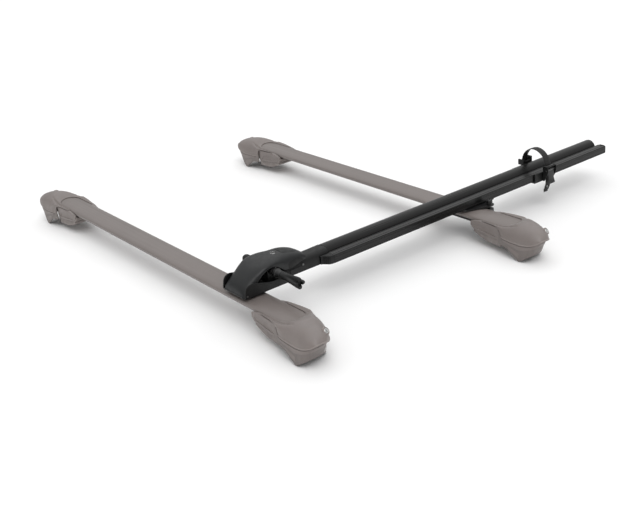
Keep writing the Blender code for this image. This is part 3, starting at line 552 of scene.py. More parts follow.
def bar_crown(w):
    """Height of the bar's upper surface, above its top line, at w across it."""
    share = min(abs(w) / (BAR_WIDTH / 2), 1.0)
    return -0.0095 + 0.0095 * (1 - share**2.2) ** (1 / 2.6)


def seated(s, w, h):
    """Lowers the cover's dome smoothly to the bar round the opening that the bar runs through."""
    centre = MOUTH_START + MOUTH_HALF
    away = math.hypot(w, centre - s) - MOUTH_HALF if s < centre else abs(w) - MOUTH_HALF
    limit = bar_crown(w) + COVER_WALL + 0.0006 + 0.46 * max(away, -0.004)
    soft = 0.0014
    return -soft * math.log(math.exp(-h / soft) + math.exp(-limit / soft))


def sideways(points, index, reach):
    """Unit vector out of a foot's plan outline at one of its points, which start with s and w."""
    ahead, behind = points[min(index + reach, len(points) - 1)], points[max(index - reach, 0)]
    run = Vector((ahead[0] - behind[0], ahead[1] - behind[1])).normalized()
    out = Vector((-run.y, run.x))
    s, w = points[index][:2]
    return -out if out.dot(Vector((s - FOOT_MIDDLE, w * 0.6))) < 0 else out


def foot(prefix, bar_x, tip_y, side):
    def at(s, w, h):
        return Vector((bar_x + w, tip_y - side * s, BAR_TOP + h))

    seat = at(*LOCK_PLACE)
    outward = Vector((0.45, side, 0.8)).normalized()
    foot_cover(prefix, at, seat, outward)
    foot_claw(prefix, at)
    foot_base(prefix, at, prefix.split("_")[0] + "_bar")
    foot_lock(prefix, seat, outward)


def foot_cover(prefix, at, seat, outward):
    """Domed shell, open in a U over the bar, with a raised rim strip along its hem."""
    body = f"{prefix}_cover"
    stations = [0.0006 + 0.2034 * (k / 60) ** 1.35 for k in range(61)]
    rows = []
    for s in stations:
        hem, high = straight(COVER_HEM, s), smooth(COVER_CREST, s)
        low = hem if s < 0.1 else smooth(COVER_SPRING, s)
        middle, half = (cover_rear(s) - cover_front(s)) / 2, (cover_rear(s) + cover_front(s)) / 2
        row = [(middle + a, seated(s, middle + a, b)) for a, b in arch(half, low, high, 2.2, 64)]
        skirt = [(w, min(hem, h - 0.0002)) for w, h in (row[0], row[-1])]
        row = [skirt[0]] + row + [skirt[1]]
        rows.append([at(s, w, h) for w, h in row])
    cover = shell(f"{prefix}_cover_skin", rows, "foot_plastic", body, COVER_WALL, [f"{prefix}_foot_cover"],
                  crease=50)
    bake(cover)
    bend = [(MOUTH_START + MOUTH_HALF * (1 + a), b * MOUTH_HALF) for a, b in arc((0, 0), 1.0, 90, 270, 32)]
    mouth = [(0.22, MOUTH_HALF)] + bend + [(0.22, -MOUTH_HALF)]
    cut(cover, loft(f"{prefix}_mouth", [[at(s, w, h) for s, w in mouth] for h in (-0.012, 0.03)],
                    "foot_plastic"))
    bore = turned(f"{prefix}_bore", [(0.0066, -0.008), (0.0066, 0.008)], seat, outward, "foot_plastic")
    cut(cover, bore)
    cover.data.shade_smooth()
    resharpen(cover, 40)
    soften(cover, 0.0005, 40)
    cover_rim(prefix, at, [s for s in stations if s < 0.131])


def cover_rim(prefix, at, rim):
    """Raised strip along the cover's hem, painted lighter as a highlight on the lip."""
    path = [(s, -cover_front(s), straight(COVER_HEM, s)) for s in reversed(rim)]
    path += [(s, cover_rear(s), straight(COVER_HEM, s)) for s in rim]
    rings = []
    for index, (s, w, h) in enumerate(path):
        out = sideways(path, index, 1)
        ring = []
        for reach, rise in ((-0.0016, -0.0002), (0.0006, -0.0002), (0.0009, 0.0008), (0.0009, 0.003),
                            (0.0004, 0.0038), (-0.0016, 0.0038)):
            ring.append(at(max(s + out.x * reach, 0.0007), w + out.y * reach, h + rise))
        rings.append(ring)
    loft(f"{prefix}_cover_rim", rings, "foot_plastic_lit", f"{prefix}_cover", crease=60)


def foot_lock(prefix, seat, outward):
    """Lock plug in a collar, with a key slot whose floor is painted dark as shade."""
    body = f"{prefix}_lock"
    profile = [(0.0052, -0.014), (0.0052, -0.003), (0.0061, -0.0026), (0.0061, 0.003), (0.0056, 0.0036),
               (0.005, 0.0037), (0.0047, 0.0033), (0.0002, 0.0033)]
    plug = turned(f"{prefix}_lock_plug", profile, seat, outward, "lock_metal", body, [f"{prefix}_foot_lock"])
    boss = [(0.0068, -0.004), (0.0068, 0.0026), (0.0073, 0.0032), (0.0086, 0.0032), (0.0094, 0.0024),
            (0.0104, -0.004)]
    # The boss takes the foot plastic painted lighter as a highlight.
    turned(f"{prefix}_lock_boss", boss, seat, outward, "foot_plastic_lit", f"{prefix}_cover", closed=True)
    across = outward.cross(Z_AXIS).normalized()
    along = outward.cross(across)

    def slot(length, width, depths):
        return [[seat + along * a * length + across * b * width + outward * depth for a, b in LOCK_SLOT]
                for depth in depths]

    cut(plug, loft(f"{prefix}_lock_cut", slot(1.0, 1.0, (0.0024, 0.005)), "lock_metal"))
    soften(plug, 0.0002, 35)
    # A dark sheet at the slot's floor: painted shade inside the keyway.
    loft(f"{prefix}_keyway_shade", slot(0.95, 0.9, (0.0019, 0.0026)), "keyway_shade", body)


def foot_claw(prefix, at):
    """Hooked wall round the outer end, painted darker as shade, with a lip band, a raised panel and a plain
    plate.
    """
    body = f"{prefix}_claw"
    lengths = [0.1375 - 0.1255 * (k / 23) ** 0.8 for k in range(24)]
    front = [(s, -cover_front(s - 0.008) - 0.0015) for s in lengths]
    rear = [(s, cover_rear(s - 0.01) + 0.001) for s in reversed(lengths)]
    path = front + [(0.0103, -NOSE_SIDE - 0.006), (0.01, -NOSE_SIDE)] + rear

    def wall(points, top_share, low_share, proud, thick):
        rings = []
        for index, (s, w) in enumerate(points):
            out = sideways(points, index, 2)
            lean = 0.024 * max(0.0, 1 - s / 0.066)
            top, low = straight(COVER_HEM, s) - HEM_GAP, straight(CLAW_HEM, s)
            ring = []
            for share, reach in ((top_share, proud), ((top_share + low_share) / 2, proud + 0.0002),
                                 (low_share, proud), (low_share, proud - thick), (top_share, proud - thick)):
                ring.append(at(s + lean * share + out.x * reach, w + out.y * reach, top
                               + (low - top) * share))
            rings.append(ring)
        return rings

    loft(f"{prefix}_claw_skin", wall(path, 0.0, 1.0, -0.0014, 0.0026), "foot_plastic_shaded", body,
         [f"{prefix}_foot_claw"], bevel=0.0005, crease=50)
    trims = (("lip", path[2:-2], 0.04, 0.3, -0.0004, 0.0018, "foot_plastic"),
             ("panel", path[5:13], 0.46, 0.8, -0.0009, 0.0016, "foot_plastic"),
             ("plate", path[29:36], 0.5, 0.84, -0.0006, 0.0018, "plate"))
    for name, part, top_share, low_share, proud, thick, mat in trims:
        rings = wall(part, top_share, low_share, proud, thick)
        loft(f"{prefix}_claw_{name}", rings, mat, body, bevel=0.0004, crease=50)


def foot_base(prefix, at, bar):
    """Channel with two arms, a sunk panel in each arm's side."""
    rings = []
    for s in (0.246, 0.245, 0.243, 0.236, 0.213, 0.19, 0.168, 0.146, 0.139, 0.1377, 0.125, 0.113):
        outer = 0.0378 if s < 0.138 else straight(BASE_ARM_HALF, s)
        rim = -0.01 if s < 0.138 else straight([(0.225, -0.0065), (0.246, -0.014)], s)
        inner, floor, low = BAR_WIDTH / 2 + 0.0006, -BAR_DEPTH - 0.0006, straight(BASE_UNDERSIDE, s)
        half = [(outer - 0.002, low), (outer, low + 0.003), (outer, rim - 0.001), (outer - 0.001, rim),
                (inner, rim), (inner, floor)]
        ring = half + [(-a, b) for a, b in reversed(half)]
        rings.append([at(s, a, b) for a, b in ring])
    base = loft(f"{prefix}_base_skin", rings, "foot_plastic", bar, [f"{prefix}_foot_base"], crease=45)
    for hand in (-1, 1):
        panel = []
        for w in (0.0452, 0.052):
            outline = [(0.152, -0.035), (0.158, -0.025), (0.17, -0.0205), (0.226, -0.018), (0.234, -0.0215),
                       (0.23, -0.029)]
            slant = [(s, hand * (w - 0.055 * (s - 0.15)), h) for s, h in outline]
            panel.append([at(s, w2, h) for s, w2, h in slant])
        cut(base, loft(f"{prefix}_panel", panel, "foot_plastic"))
    resharpen(base, 40)
    soften(base, 0.0005, 40)
    dress("roof_pad_rubber", 0.0012, f"{prefix}_foot_pad")


# Tray

def side_line(low):
    """A die line pressed along the tray's near side."""
    depth = 0.0006
    return [(-TRAY_HALF, low), (-TRAY_HALF + depth, low + depth), (-TRAY_HALF + depth, low + 2 * depth),
            (-TRAY_HALF, low + 3 * depth)]


def ledge_line(v, slope, width, depth):
    """A fine groove along the tray's ledge."""
    floor = LEDGE_TOP - depth
    return [(v, LEDGE_TOP), (v + slope, floor), (v + slope + width, floor),
            (v + 2 * slope + width, LEDGE_TOP)]


def tray_section():
    """The tray's outer line, with fine grooves on the ledge and die lines on its side."""
    angle = math.degrees(math.asin((GROOVE_FLOOR - SPINE_HEIGHT) / SPINE_RADIUS))
    corner, edge = 0.0015, 0.002
    near = [(-SLOT_HALF, TRAY_BOTTOM), (-TRAY_HALF + corner, TRAY_BOTTOM)]
    near += arc((-TRAY_HALF + corner, TRAY_BOTTOM + corner), corner, 260, 180, 4)
    near += side_line(0.01) + side_line(0.0212)
    near += arc((-TRAY_HALF + edge, LEDGE_TOP - edge), edge, 180, 90, 5)
    near += ledge_line(-0.0405, 0.0005, 0.0012, 0.0007) + ledge_line(-0.027, 0.0004, 0.0008, 0.0005)
    near += arc((GROOVE_SIDE - 0.0012, LEDGE_TOP - 0.0012), 0.0012, 90, 0, 4) + [(GROOVE_SIDE, GROOVE_FLOOR)]
    far = [(TRAY_FAR - corner, SPINE_HEIGHT), (TRAY_FAR, SPINE_HEIGHT - corner),
           (TRAY_FAR, TRAY_BOTTOM + corner), (TRAY_FAR - corner, TRAY_BOTTOM), (SLOT_HALF, TRAY_BOTTOM)]
    return near + arc((SPINE_V, SPINE_HEIGHT), SPINE_RADIUS, 180 - angle, 0, 56) + far


def tray_inside():
    wall = TRAY_WALL
    far = [(SLOT_HALF, TRAY_BOTTOM + wall), (TRAY_FAR - wall, TRAY_BOTTOM + wall),
           (TRAY_FAR - wall, SPINE_HEIGHT - wall), (SPINE_V + SPINE_RADIUS - wall, SPINE_HEIGHT - wall)]
    near = [(GROOVE_SIDE - wall, GROOVE_FLOOR - wall), (GROOVE_SIDE - wall, LEDGE_TOP - wall - 0.001),
            (GROOVE_SIDE - wall - 0.001, LEDGE_TOP - wall), (-TRAY_HALF + wall + 0.001, LEDGE_TOP - wall),
            (-TRAY_HALF + wall, LEDGE_TOP - wall - 0.001), (-TRAY_HALF + wall, TRAY_BOTTOM + wall + 0.001),
            (-TRAY_HALF + wall + 0.001, TRAY_BOTTOM + wall), (-SLOT_HALF, TRAY_BOTTOM + wall)]
    return far + arc((SPINE_V, SPINE_HEIGHT), SPINE_RADIUS - wall, 0, 178, 40) + near


def tray():
    contour = [(CARRIER_Y + a, BAR_TOP + b) for a, b in tray_section() + tray_inside()]
    rail = prism("tray_skin", contour, "X", TRAY_START, TRAY_END, "black_anodised", "carrier", ["tray_rail"],
                 crease=25)
    low = carrier_point(TRAY_END - NOTCH, -0.0219, LEDGE_TOP - 0.012)
    cut(rail, block("notch", low, carrier_point(TRAY_END + NOTCH, 0.05, 0.06), "black_anodised"))
    resharpen(rail, 25)
    dress("black_moulded", 0.0009, "end_cap_right")
    dress("black_moulded", 0.0006, "end_cap_left")
    dress("black_moulded", 0.0005, "spine_plug")
    collar()


def collar():
    """Moulded shoulder from the neck's width to the tray's, ribbed on its side."""
    start, end = TRAY_START - 0.028, TRAY_START - 0.0003
    widths = [(0.0, 0.029), (0.004, 0.0305), (0.0085, 0.036), (0.013, 0.0415), (0.018, 0.0455),
              (0.0277, TRAY_HALF)]
    top, inner, floor = LEDGE_TOP, 0.0262, TRAY_BOTTOM + 0.0031
    rings = []
    for x in spread(start, end, 24):
        half = smooth(widths, x - start)
        outline = [(TRAY_FAR - 0.002, TRAY_BOTTOM), (TRAY_FAR, TRAY_BOTTOM + 0.002), (TRAY_FAR, 0.017),
                   (TRAY_FAR - 0.002, SPINE_HEIGHT), (inner, SPINE_HEIGHT), (inner, floor), (-inner, floor),
                   (-inner, top), (-half + 0.002, top), (-half + 0.0006, top - 0.0006), (-half, top - 0.002),
                   (-half, TRAY_BOTTOM + 0.002), (-half + 0.0006, TRAY_BOTTOM + 0.0006),
                   (-half + 0.002, TRAY_BOTTOM)]
        rings.append([carrier_point(x, a, b) for a, b in outline])
    loft("collar_skin", rings, "black_moulded", "carrier", ["tray_collar"], bevel=0.0004, crease=40)
    for k in range(5):
        x = start + 0.0045 + 0.0034 * k
        half = smooth(widths, x - start)
        block(f"collar_rib_{k}", carrier_point(x - 0.0007, -half - 0.0007, TRAY_BOTTOM + 0.003),
              carrier_point(x + 0.0007, -half + 0.002, top - 0.003), "black_moulded", "carrier",
              bevel=0.0003)


# Head

CHEEK_TOP = [(0.002, 0.01), (0.005, 0.026), (0.011, 0.0345), (0.02, 0.0385), (0.03, 0.0375), (0.05, 0.0325),
             (0.08, 0.025), (0.118, 0.023), (0.13, 0.012)]
LID_CREST = [(0.0005, 0.0065), (0.004, 0.019), (0.011, 0.031), (0.028, 0.046), (0.048, 0.0585),
             (0.07, 0.067), (0.098, 0.0712), (0.122, 0.0715), (0.153, 0.0695), (0.18, 0.062), (0.196, 0.053)]
LID_HEM = [(0.0005, 0.005), (0.011, 0.0062), (0.022, 0.012), (0.035, 0.026), (0.05, 0.042), (0.063, 0.052),
           (0.082, 0.0568), (0.101, 0.0545), (0.115, 0.045), (0.125, 0.0375), (0.143, 0.0365),
           (0.168, 0.039), (0.196, 0.04)]
LID_HALF = [(0.0005, 0.04), (0.011, 0.042), (0.035, 0.0425), (0.055, 0.0445), (0.075, 0.045), (0.1, 0.0435),
            (0.125, 0.042), (0.15, 0.0405), (0.175, 0.0355), (0.196, 0.03)]


def head_base():
    """Cheeks, floor, pedestal and the neck that runs back into the tray."""
    for hand, side in SIDES:
        crest = [(u, smooth(CHEEK_TOP, u)) for u in spread(0.002, 0.13, 44)]
        outline = [(HEAD_X + u, BAR_TOP + h) for u, h in [(0.13, 0.0056), (0.002, 0.0056)] + crest]
        near, far = band(CARRIER_Y, side, HEAD_HALF, HEAD_HALF - 0.0032)
        cheek = prism(f"cheek_{hand}_skin", outline, "Y", near, far, "black_moulded", "carrier", ["head_base"]
                      if side < 0 else (), crease=30)
        hole = head_point(0.009, side * HEAD_HALF, 0.0115)
        cut(cheek, turned("pin_hole", [(0.0029, -0.02), (0.0029, 0.02)], hole, Y_AXIS, "black_moulded"))
        soften(cheek, 0.0008, 30, 3)
        inset = [(u, h) for u, h in crest if 0.02 < u < 0.108]
        rib = [(HEAD_X + u, BAR_TOP + h - 0.004) for u, h in inset]
        rib += [(HEAD_X + u, BAR_TOP + h - 0.0056) for u, h in reversed(inset)]
        low, high = band(CARRIER_Y, side, HEAD_HALF + 0.0005, HEAD_HALF - 0.0015)
        prism(f"cheek_{hand}_bead", rib, "Y", low, high, "black_moulded", "carrier", bevel=0.0003, crease=40)
    block("head_floor", head_point(0.022, -0.0445, 0.0056), head_point(0.13, 0.0445, 0.0085),
          "black_moulded", "carrier", bevel=0.0006)
    block("head_pedestal", head_point(0.0815, -0.03, 0.007), head_point(0.1045, 0.03, 0.056),
          "black_moulded", "carrier", bevel=0.002, segments=3)
    end = TRAY_START - HEAD_X
    tops = [(0.112, 0.024), (0.135, 0.03), (0.18, 0.037), (0.2, 0.0396), (end - 0.0293, 0.0402),
            (end, 0.0408)]
    rings = []
    for u in spread(0.112, end - 0.0008, 40):
        bottom = 0.0062 if u < end - 0.0288 else 0.0098
        rings.append([head_point(u, a, b) for a, b in arch(0.025, bottom, smooth(tops, u), 3.6, 48)])
    loft("neck_skin", rings, "black_moulded", "carrier", bevel=0.0006, crease=50)
    for hand, side in SIDES:
        seam = head_point(0.15, side * 0.0249, 0.017)
        block(f"neck_panel_{hand}", seam + Vector((0, -0.0008, -0.006)), seam
              + Vector((0.052, 0.0008, 0.005)), "black_moulded", "carrier", bevel=0.0006)


def lid_row(u, grow, power, steps):
    half, low, high = (smooth(curve, u) for curve in (LID_HALF, LID_HEM, LID_CREST))
    return [head_point(u, a, b) for a, b in arch(half + grow, low, high + grow, power, steps)]


def head_lid():
    """Hood with a bulge that laps over its rear, and the lock, pins and clamp that it covers."""
    stations = [0.0005 + 0.1955 * (k / 60) ** 1.25 for k in range(61)]
    lid = shell("lid_skin", [lid_row(u, 0.0, 3.2, 56) for u in stations], "black_hood", "lid", SHELL,
                ["head_lid"], crease=60)
    bake(lid)
    bore = [(0.0072, -0.01), (0.0072, 0.01)]
    cut(lid, turned("lock_bore", bore, head_point(LOCK_U, 0, 0.068), Z_AXIS, "black_hood"))
    resharpen(lid, 45)
    soften(lid, 0.0006, 45)

    bulge = []
    for u in [x for x in stations if x > 0.134]:
        swell = 0.0012 * math.sin(math.pi * min(1.0, (u - 0.13) / 0.055)) ** 0.5
        bulge.append(lid_row(u, swell, 2.6, 56))
    hood = shell("lid_rear_bulge", bulge, "black_moulded", "lid", 0.0016, crease=60)
    bake(hood)
    soften(hood, 0.0006, 45)
    lid_trim([u for u in stations if 0.012 < u < 0.128])

    dress("bright_steel", 0.0003, "lock_bezel")
    dress("dark_steel", 0.0002, "lock_cylinder")
    dress("dark_steel", 0.0003, "lid_hinge_pin", "lock_tongue")
    dress("dark_steel", 0.0004, "clamp_bridge", "clamp_hook", "clamp_bolt", "neck_pin")
    dress("black_rubber", 0.0004, "head_pad")
    dress("black_moulded", 0.0004, "clamp_dial")


def lid_trim(stations):
    """Folded rim round each side window, and a lip along the hood's lower front."""
    fold = ((-0.0018, -0.0003), (0.0006, -0.0003), (0.001, 0.0006), (0.0008, 0.0022), (-0.0018, 0.003))
    for hand, side in SIDES:
        rings = []
        for u in stations:
            point = head_point(u, side * smooth(LID_HALF, u), smooth(LID_HEM, u))
            rings.append([point + Vector((0, side * reach, rise)) for reach, rise in fold])
        loft(f"lid_fold_{hand}", rings, "black_hood", "lid", crease=60, bevel=0.0002)
    edge = ((-0.0012, -0.0014), (-0.0018, 0.0), (-0.0012, 0.0014), (0.0015, 0.0014), (0.0015, -0.0014))
    lip = [head_point(0.0016, v, 0.0082) for v in spread(-0.0385, 0.0385, 20)]
    rings = [[p + Vector((dx, 0, dz)) for dx, dz in edge] for p in lip]
    loft("lid_front_lip", rings, "black_hood", "lid", crease=60, bevel=0.0003)


def skewer():
    middle = head_point(AXLE_U, 0, AXLE_H)
    tube = [(0.0048, -AXLE_HALF), (0.0091, -AXLE_HALF), (0.0095, -AXLE_HALF + 0.0005), (0.0095, -0.044),
            (0.0091, -0.0436), (0.0091, -0.0424), (0.0095, -0.042), (0.0095, AXLE_HALF - 0.0005),
            (0.0091, AXLE_HALF), (0.0048, AXLE_HALF)]
    turned("axle_skin", tube, middle, Y_AXIS, "satin_black", "carrier", ["axle_tube"], closed=True,
           bevel=0.0002)
    rod = [(0.0002, -0.108), (0.0044, -0.108), (0.0044, 0.0605), (0.0002, 0.061)]
    turned("rod_skin", rod, middle, Y_AXIS, "dark_steel", "skewer", ["skewer_rod"])
    near = -AXLE_HALF - FORK_GAP
    cup = [(0.0048, near - 0.021), (0.0094, near - 0.021), (0.0098, near - 0.0206), (0.0099, near - 0.0075),
           (0.0103, near - 0.0062), (0.0114, near - 0.0052), (0.0116, near - 0.0045),
           (0.0116, near - 0.0008), (0.0111, near), (0.0048, near)]
    turned("cup_skin", cup, middle, Y_AXIS, "satin_black", "cup", ["clamp_cup"], closed=True, bevel=0.0002)
    far = AXLE_HALF + FORK_GAP
    nut = [(0.0048, far), (0.0084, far), (0.0089, far + 0.0006), (0.0096, far + 0.005),
           (0.0107, far + 0.0068), (0.011, far + 0.0084), (0.011, far + 0.0176), (0.0106, far + 0.0205),
           (0.0096, far + 0.024), (0.0078, far + 0.0266), (0.0056, far + 0.0281), (0.002, far + 0.029),
           (0.002, far + 0.0085), (0.0048, far + 0.0085)]
    turned("nut_skin", nut, middle, Y_AXIS, "black_moulded", "skewer", ["skewer_nut"], closed=True)
    eyelet = [(0.0026, -0.05), (0.0052, -0.0502), (0.006, -0.0494), (0.006, -0.0478), (0.0026, -0.0478)]
    turned("eyelet_skin", eyelet, head_point(0.11, 0, 0.031), Y_AXIS, "bright_steel", "carrier",
           ["side_eyelet"], closed=True, bevel=0.0002)
    star_knob(middle)


def star_knob(middle):
    """Hub with a ring of studs, and four flared lobes with deep flutes and a dished end."""
    stations = [(-0.0745, 0.0092, 0.0), (-0.0752, 0.0099, 0.0), (-0.085, 0.0098, 0.0), (-0.093, 0.01, 0.03),
                (-0.1, 0.0106, 0.12), (-0.109, 0.0116, 0.26), (-0.118, 0.0128, 0.4), (-0.128, 0.014, 0.5),
                (-0.138, 0.0147, 0.56), (-0.141, 0.0146, 0.56), (-0.1432, 0.0139, 0.56),
                (-0.144, 0.0128, 0.56)]
    rings = []
    for along, radius, depth in stations:
        def reach(a, radius=radius, depth=depth):
            return radius * (1 - depth * (0.5 - 0.5 * math.cos(4 * a)) ** 1.5)

        rings.append(round_ring(middle, "Y", along, 96, reach))
    knob = loft("knob_skin", rings, "black_moulded", "knob", ["star_knob"], crease=60)
    cut(knob, turned("bore", [(0.0048, -0.07), (0.0048, -0.115)], middle, Y_AXIS, "black_moulded"))
    dish = [(0.008, -0.15), (0.006, -0.137), (0.0002, -0.1355)]
    cut(knob, turned("end_dish", dish, middle, Y_AXIS, "black_moulded"))
    knob.data.shade_smooth()
    resharpen(knob, 40)
    stud = [(0.0013, -0.0004), (0.0012, 0.0004), (0.0007, 0.0008), (0.0001, 0.0009)]
    for k in range(8):
        a = math.tau * k / 8
        out = Vector((math.cos(a), 0, math.sin(a)))
        place = middle + Vector((0, -0.08, 0)) + out * 0.0096
        turned(f"knob_stud_{k}", stud, place, out, "satin_black", "knob", segments=16)


# Rear clamp and wheel strap

def rear_clamp():
    dress("dark_steel", 0.0003, "rear_slider")
    dress("satin_black", 0.0005, "rear_saddle")
    dress("black_rubber", 0.0001, "rear_saddle_pad")
    dress("satin_black", 0.001, "rear_jaw")
    for hand, v in (("right", -0.067), ("left", 0.044)):
        rear_bolt(hand, Vector((REAR_X + 0.043, CARRIER_Y + v, BAR_TOP)))

    centre = carrier_point(DIAL_X, 0, 0)
    rings = []
    for h, grow in ((-0.011, -0.0012), (-0.0104, -0.0003), (-0.0096, 0.0), (-0.0024, 0.0),
                    (-0.0016, -0.0003), (-0.001, -0.0012)):
        def lobes(a, grow=grow):
            return 0.017 + 0.014 * (0.5 + 0.5 * math.cos(8 * a)) ** 1.4 + grow

        rings.append(round_ring(centre, "Z", h, 96, lobes))
    loft("dial_skin", rings, "black_moulded", "slot_dial", ["rear_dial"], crease=50)
    stud = [(0.004, -0.003), (0.004, 0.0121), (0.0036, 0.0125), (0.0002, 0.0125)]
    turned("dial_stud", stud, centre, Z_AXIS, "dark_steel", "slot_dial")


def rear_bolt(hand, centre):
    """Button-headed bolt with a hexagonal socket."""
    profile = [(0.0002, -0.03), (0.0036, -0.03), (0.004, -0.0296), (0.004, 0.005), (0.0074, 0.005),
               (0.0078, 0.0054), (0.0078, 0.0146), (0.0075, 0.016), (0.0064, 0.0182), (0.0048, 0.0193),
               (0.0024, 0.0198), (0.0002, 0.0198)]
    bolt = turned(f"rear_bolt_{hand}_skin", profile, centre, Z_AXIS, "satin_black", f"bolt_{hand}",
                  [f"rear_bolt_{hand}"])
    hexagon = arc((centre.x, centre.y), 0.0028, 0, 300, 5)
    cut(bolt, prism("socket", hexagon, "Z", BAR_TOP + 0.0165, BAR_TOP + 0.03, "satin_black"))
    resharpen(bolt, 35)


def strap_route():
    """The strap's middle line as (v, h, shift along the tray)."""
    path = [(0.0378, 0.033), (0.0378, 0.039)]
    path += arc((-0.011, 0.0365), 0.049, 10, 170, 40)
    path += [(-0.0597, 0.041), (-0.059, 0.035), (-0.0585, 0.025), (-0.0585, 0.014), (-0.0585, 0.004),
             (-0.059, -0.006)]
    route = [(v, h, 0.01 * (v + 0.06) / 0.098) for v, h in path]
    return route + [(-0.0594, -0.01, -0.002), (-0.0602, -0.016, -0.006), (-0.061, -0.022, -0.0105),
                    (-0.0618, -0.028, -0.015)]


def wheel_strap():
    def at(dx, v, h):
        return carrier_point(STRAP_X + dx, v, h)

    dress("black_moulded", 0.0009, "strap_cradle")
    dress("black_moulded", 0.001, "strap_anchor")
    dress("black_moulded", 0.0005, "release_tab")
    dress("dark_steel", 0.0003, "cradle_bolt")
    buckle(at)
    ladder_strap(at)
    strap_pin("anchor_pin", at(0.01, 0.0378, 0.035), 0.0018, 0.0022, 0.0165, 0.016)
    strap_pin("buckle_pivot", at(0, -0.0672, 0.0345), 0.0016, 0.0022, 0.02, 0.0197)
    knob_at = at(-0.036, 0, 0)
    rings = []
    for radius, h in ((0.009, 0.0004), (0.0098, 0.0002), (0.0102, -0.0006), (0.0102, -0.007),
                      (0.0096, -0.009), (0.0085, -0.0105), (0.0066, -0.0117), (0.0045, -0.0125),
                      (0.001, -0.013)):
        depth = 0.0006 if -0.009 < h < 0.0 else 0.0

        def fluted(a, radius=radius, depth=depth):
            return radius - depth * max(0.0, math.cos(16 * a))

        rings.append(round_ring(knob_at, "Z", h, 64, fluted))
    loft("under_knob_skin", rings, "black_moulded", "under_knob", ["cradle_knob"], crease=50)


def strap_pin(name, centre, tip, radius, end, shoulder, segments=20):
    """Steel pin along the tray, tapered from its shoulders to its ends."""
    profile = [(tip, -end), (radius, -shoulder), (radius, shoulder), (tip, end)]
    turned(name, profile, centre, X_AXIS, "dark_steel", "strap_mount", segments=segments)


LEVER_SECTION = ((-1, -0.3), (-0.85, -0.5), (0.85, -0.5), (1, -0.3), (1, 0.3), (0.85, 0.5), (-0.85, 0.5),
                 (-1, 0.3))
STRAP_SECTION = ((1, -0.4), (1, 0.4), (0.94, 0.5), (-0.94, 0.5), (-1, 0.4), (-1, -0.4), (-0.94, -0.5),
                 (0.94, -0.5))


def buckle(at):
    """Two rounded cheeks on a back plate, and a waisted lever with a thumb grip between them."""
    cheek = [(-0.0552, 0.003), (-0.0552, 0.044)] + arc((-0.06, 0.0425), 0.0048, 0, 90, 6)
    cheek += arc((-0.0672, 0.04), 0.0066, 90, 180, 8)
    cheek += [(-0.0735, 0.03), (-0.07, 0.02), (-0.064, 0.011), (-0.06, 0.003)]
    for hand, side in SIDES:
        low, high = band(STRAP_X, side, 0.0166, 0.0188)
        outline = [(CARRIER_Y + a, BAR_TOP + b) for a, b in cheek]
        prism(f"buckle_cheek_{hand}", outline, "X", low, high, "black_moulded", "strap_mount",
              ["buckle_frame"] if side < 0 else (), bevel=0.0006, crease=40)
    block("buckle_back", at(-0.017, -0.056, 0.003), at(0.017, -0.0545, 0.043), "black_moulded",
          "strap_mount", bevel=0.0005)
    strap_pin("buckle_roller", at(0, -0.0625, 0.0445), 0.0016, 0.002, 0.0166, 0.0162, 24)
    stations = [(0.0385, -0.0665, 0.015), (0.0345, -0.0672, 0.0158), (0.029, -0.068, 0.015),
                (0.02, -0.0688, 0.0118), (0.011, -0.0694, 0.0112), (0.004, -0.07, 0.0128),
                (-0.002, -0.0708, 0.0148), (-0.0055, -0.0714, 0.014)]
    rings = []
    for h, v, half in stations:
        thick = 0.0034 if h > 0.03 else 0.0022
        rings.append([at(dx * half, v + dv * thick, h) for dx, dv in LEVER_SECTION])
    loft("lever_skin", rings, "satin_black", "lever", ["ratchet_lever"], bevel=0.0004, crease=40)
    for k in range(4):
        h = -0.004 + 0.0028 * k
        v = straight([(-0.0055, -0.0714), (0.011, -0.0694)], h)
        block(f"lever_grip_{k}", at(-0.01, v - 0.0017, h), at(0.01, v - 0.0008, h + 0.0012), "satin_black",
              "lever", bevel=0.0003)


def ladder_strap(at):
    """Flat strap with raised rungs on its outer face and a narrowed, slotted free end."""
    route = strap_route()
    half_width, thickness = 0.011, 0.0016
    rings = []
    frames = []
    for index, (v, h, dx) in enumerate(route):
        ahead, behind = route[min(index + 1, len(route) - 1)], route[max(index - 1, 0)]
        run = Vector((0, ahead[0] - behind[0], ahead[1] - behind[1])).normalized()
        out = Vector((0, run.z, -run.y))
        frames.append((at(dx, v, h), run, out))
        half = half_width * (0.6 if index == len(route) - 1 else 1.0)
        rings.append([at(dx + edge * half, v, h) + out * face * thickness for edge, face in STRAP_SECTION])
    strap = loft("strap_skin", rings, "strap_rubber", "strap_mount", ["ladder_strap"], crease=40)
    centre, run, out = frames[-3]
    corners = ((-0.0035, -0.0022), (0.0035, -0.0022), (0.0035, 0.0022), (-0.0035, 0.0022))
    tool = [[centre + out * depth + X_AXIS * a + run * b for a, b in corners] for depth in (-0.004, 0.004)]
    cut(strap, loft("tail_slot", tool, "strap_rubber"))
    resharpen(strap, 40)
    strap_rungs(frames)


def strap_rungs(frames):
    """Rungs at an even spacing, over the wheel and on the free end but not inside the buckle."""
    ridge = ((-0.0012, 0.0004), (-0.0008, 0.0012), (0.0008, 0.0012), (0.0012, 0.0004))
    length, spacing, due, count = 0.0, 0.0052, 0.012, 0
    for (a, _, _), (b, run, out) in zip(frames, frames[1:]):
        length += (b - a).length
        height = b.z - BAR_TOP
        if length < due or height > 0.09 or -0.001 <= height <= 0.052:
            continue
        due = length + spacing
        rung = [[b + X_AXIS * edge + run * along + out * proud for along, proud in ridge]
                for edge in (-0.0085, 0.0085)]
        loft(f"strap_rung_{count}", rung, "strap_rubber", "strap_mount", bevel=0.0002)
        count += 1


# Studio

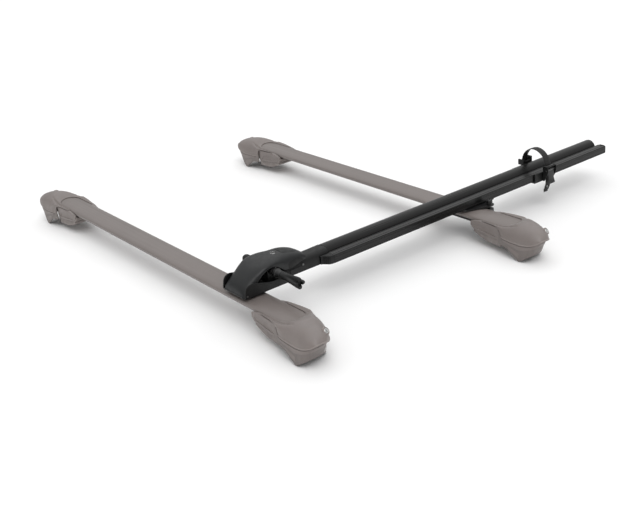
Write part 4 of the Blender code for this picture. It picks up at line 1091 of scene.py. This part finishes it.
def floor():
    mesh = bpy.data.meshes.new("floor")
    corners = ((-1, -1), (1, -1), (1, 1), (-1, 1))
    mesh.from_pydata([(a * FLOOR_REACH, b * FLOOR_REACH, 0) for a, b in corners], [], [(0, 1, 2, 3)])
    made = add_object("floor", mesh)
    paint = Shading("floor_paint")
    drift = paint.ramp(paint.noise(3.0, 3.0), 0.3, 0.7, 0.0, 1.0)
    pale = paint.mix(drift, (0.9, 0.9, 0.9), (0.92, 0.92, 0.92))
    paint.give("Base Color", pale)
    paint.give("Roughness", 0.9)
    mesh.materials.append(paint.material)


def sky():
    """White surroundings, brighter overhead than at the horizon."""
    world = bpy.data.worlds.new("studio")
    world.use_nodes = True
    tree = world.node_tree
    background = tree.nodes["Background"]
    place = tree.nodes.new("ShaderNodeTexCoord")
    split = tree.nodes.new("ShaderNodeSeparateXYZ")
    height = tree.nodes.new("ShaderNodeMapRange")
    for socket, number in (("From Min", 0.0), ("From Max", 1.0), ("To Min", 0.32), ("To Max", 1.15)):
        height.inputs[socket].default_value = number
    tree.links.new(place.outputs["Generated"], split.inputs["Vector"])
    tree.links.new(split.outputs["Z"], height.inputs["Value"])
    tree.links.new(height.outputs["Result"], background.inputs["Strength"])
    background.inputs["Color"].default_value = (1.0, 1.0, 1.0, 1.0)
    bpy.context.scene.world = world


def lamp(name, place, angle, strength):
    """A broad soft light that shines from its place to the middle of the floor."""
    light = bpy.data.lights.new(name, "SUN")
    light.angle = math.radians(angle)
    light.energy = strength
    made = add_object(name, light)
    made.location = place
    made.rotation_euler = (-Vector(place)).to_track_quat("-Z", "Y").to_euler()


def camera():
    lens = bpy.data.cameras.new("camera")
    lens.lens, lens.sensor_width = LENS, 36.0
    lens.clip_end = 3 * FLOOR_REACH
    holder = add_object("camera", lens)
    forward = CAMERA_AIM.normalized()
    turn = Quaternion(forward, CAMERA_ROLL) @ forward.to_track_quat("-Z", "Y")
    holder.matrix_world = Matrix.Translation(CAMERA_PLACE) @ turn.to_matrix().to_4x4()
    scene = bpy.context.scene
    scene.camera = holder
    scene.view_settings.view_transform = "Standard"
    scene.view_settings.look = "None"


def studio():
    floor()
    sky()
    lamp("key", (-0.7, -1.6, 2.6), 40, 0.95)
    lamp("fill", (1.6, 1.6, 2.6), 70, 0.25)
    camera()


def main():
    bars = (("front", FRONT_X, FRONT_LEFT_TIP_Y), ("rear", REAR_X, REAR_LEFT_TIP_Y))
    for bar, bar_x, left_tip in bars:
        crossbar(f"{bar}_crossbar_skin", bar_x, RIGHT_TIP_Y, left_tip, f"{bar}_bar")
        foot(f"{bar}_right", bar_x, RIGHT_TIP_Y, -1)
        foot(f"{bar}_left", bar_x, left_tip, 1)
    tray()
    head_base()
    head_lid()
    skewer()
    rear_clamp()
    wheel_strap()
    studio()


main()
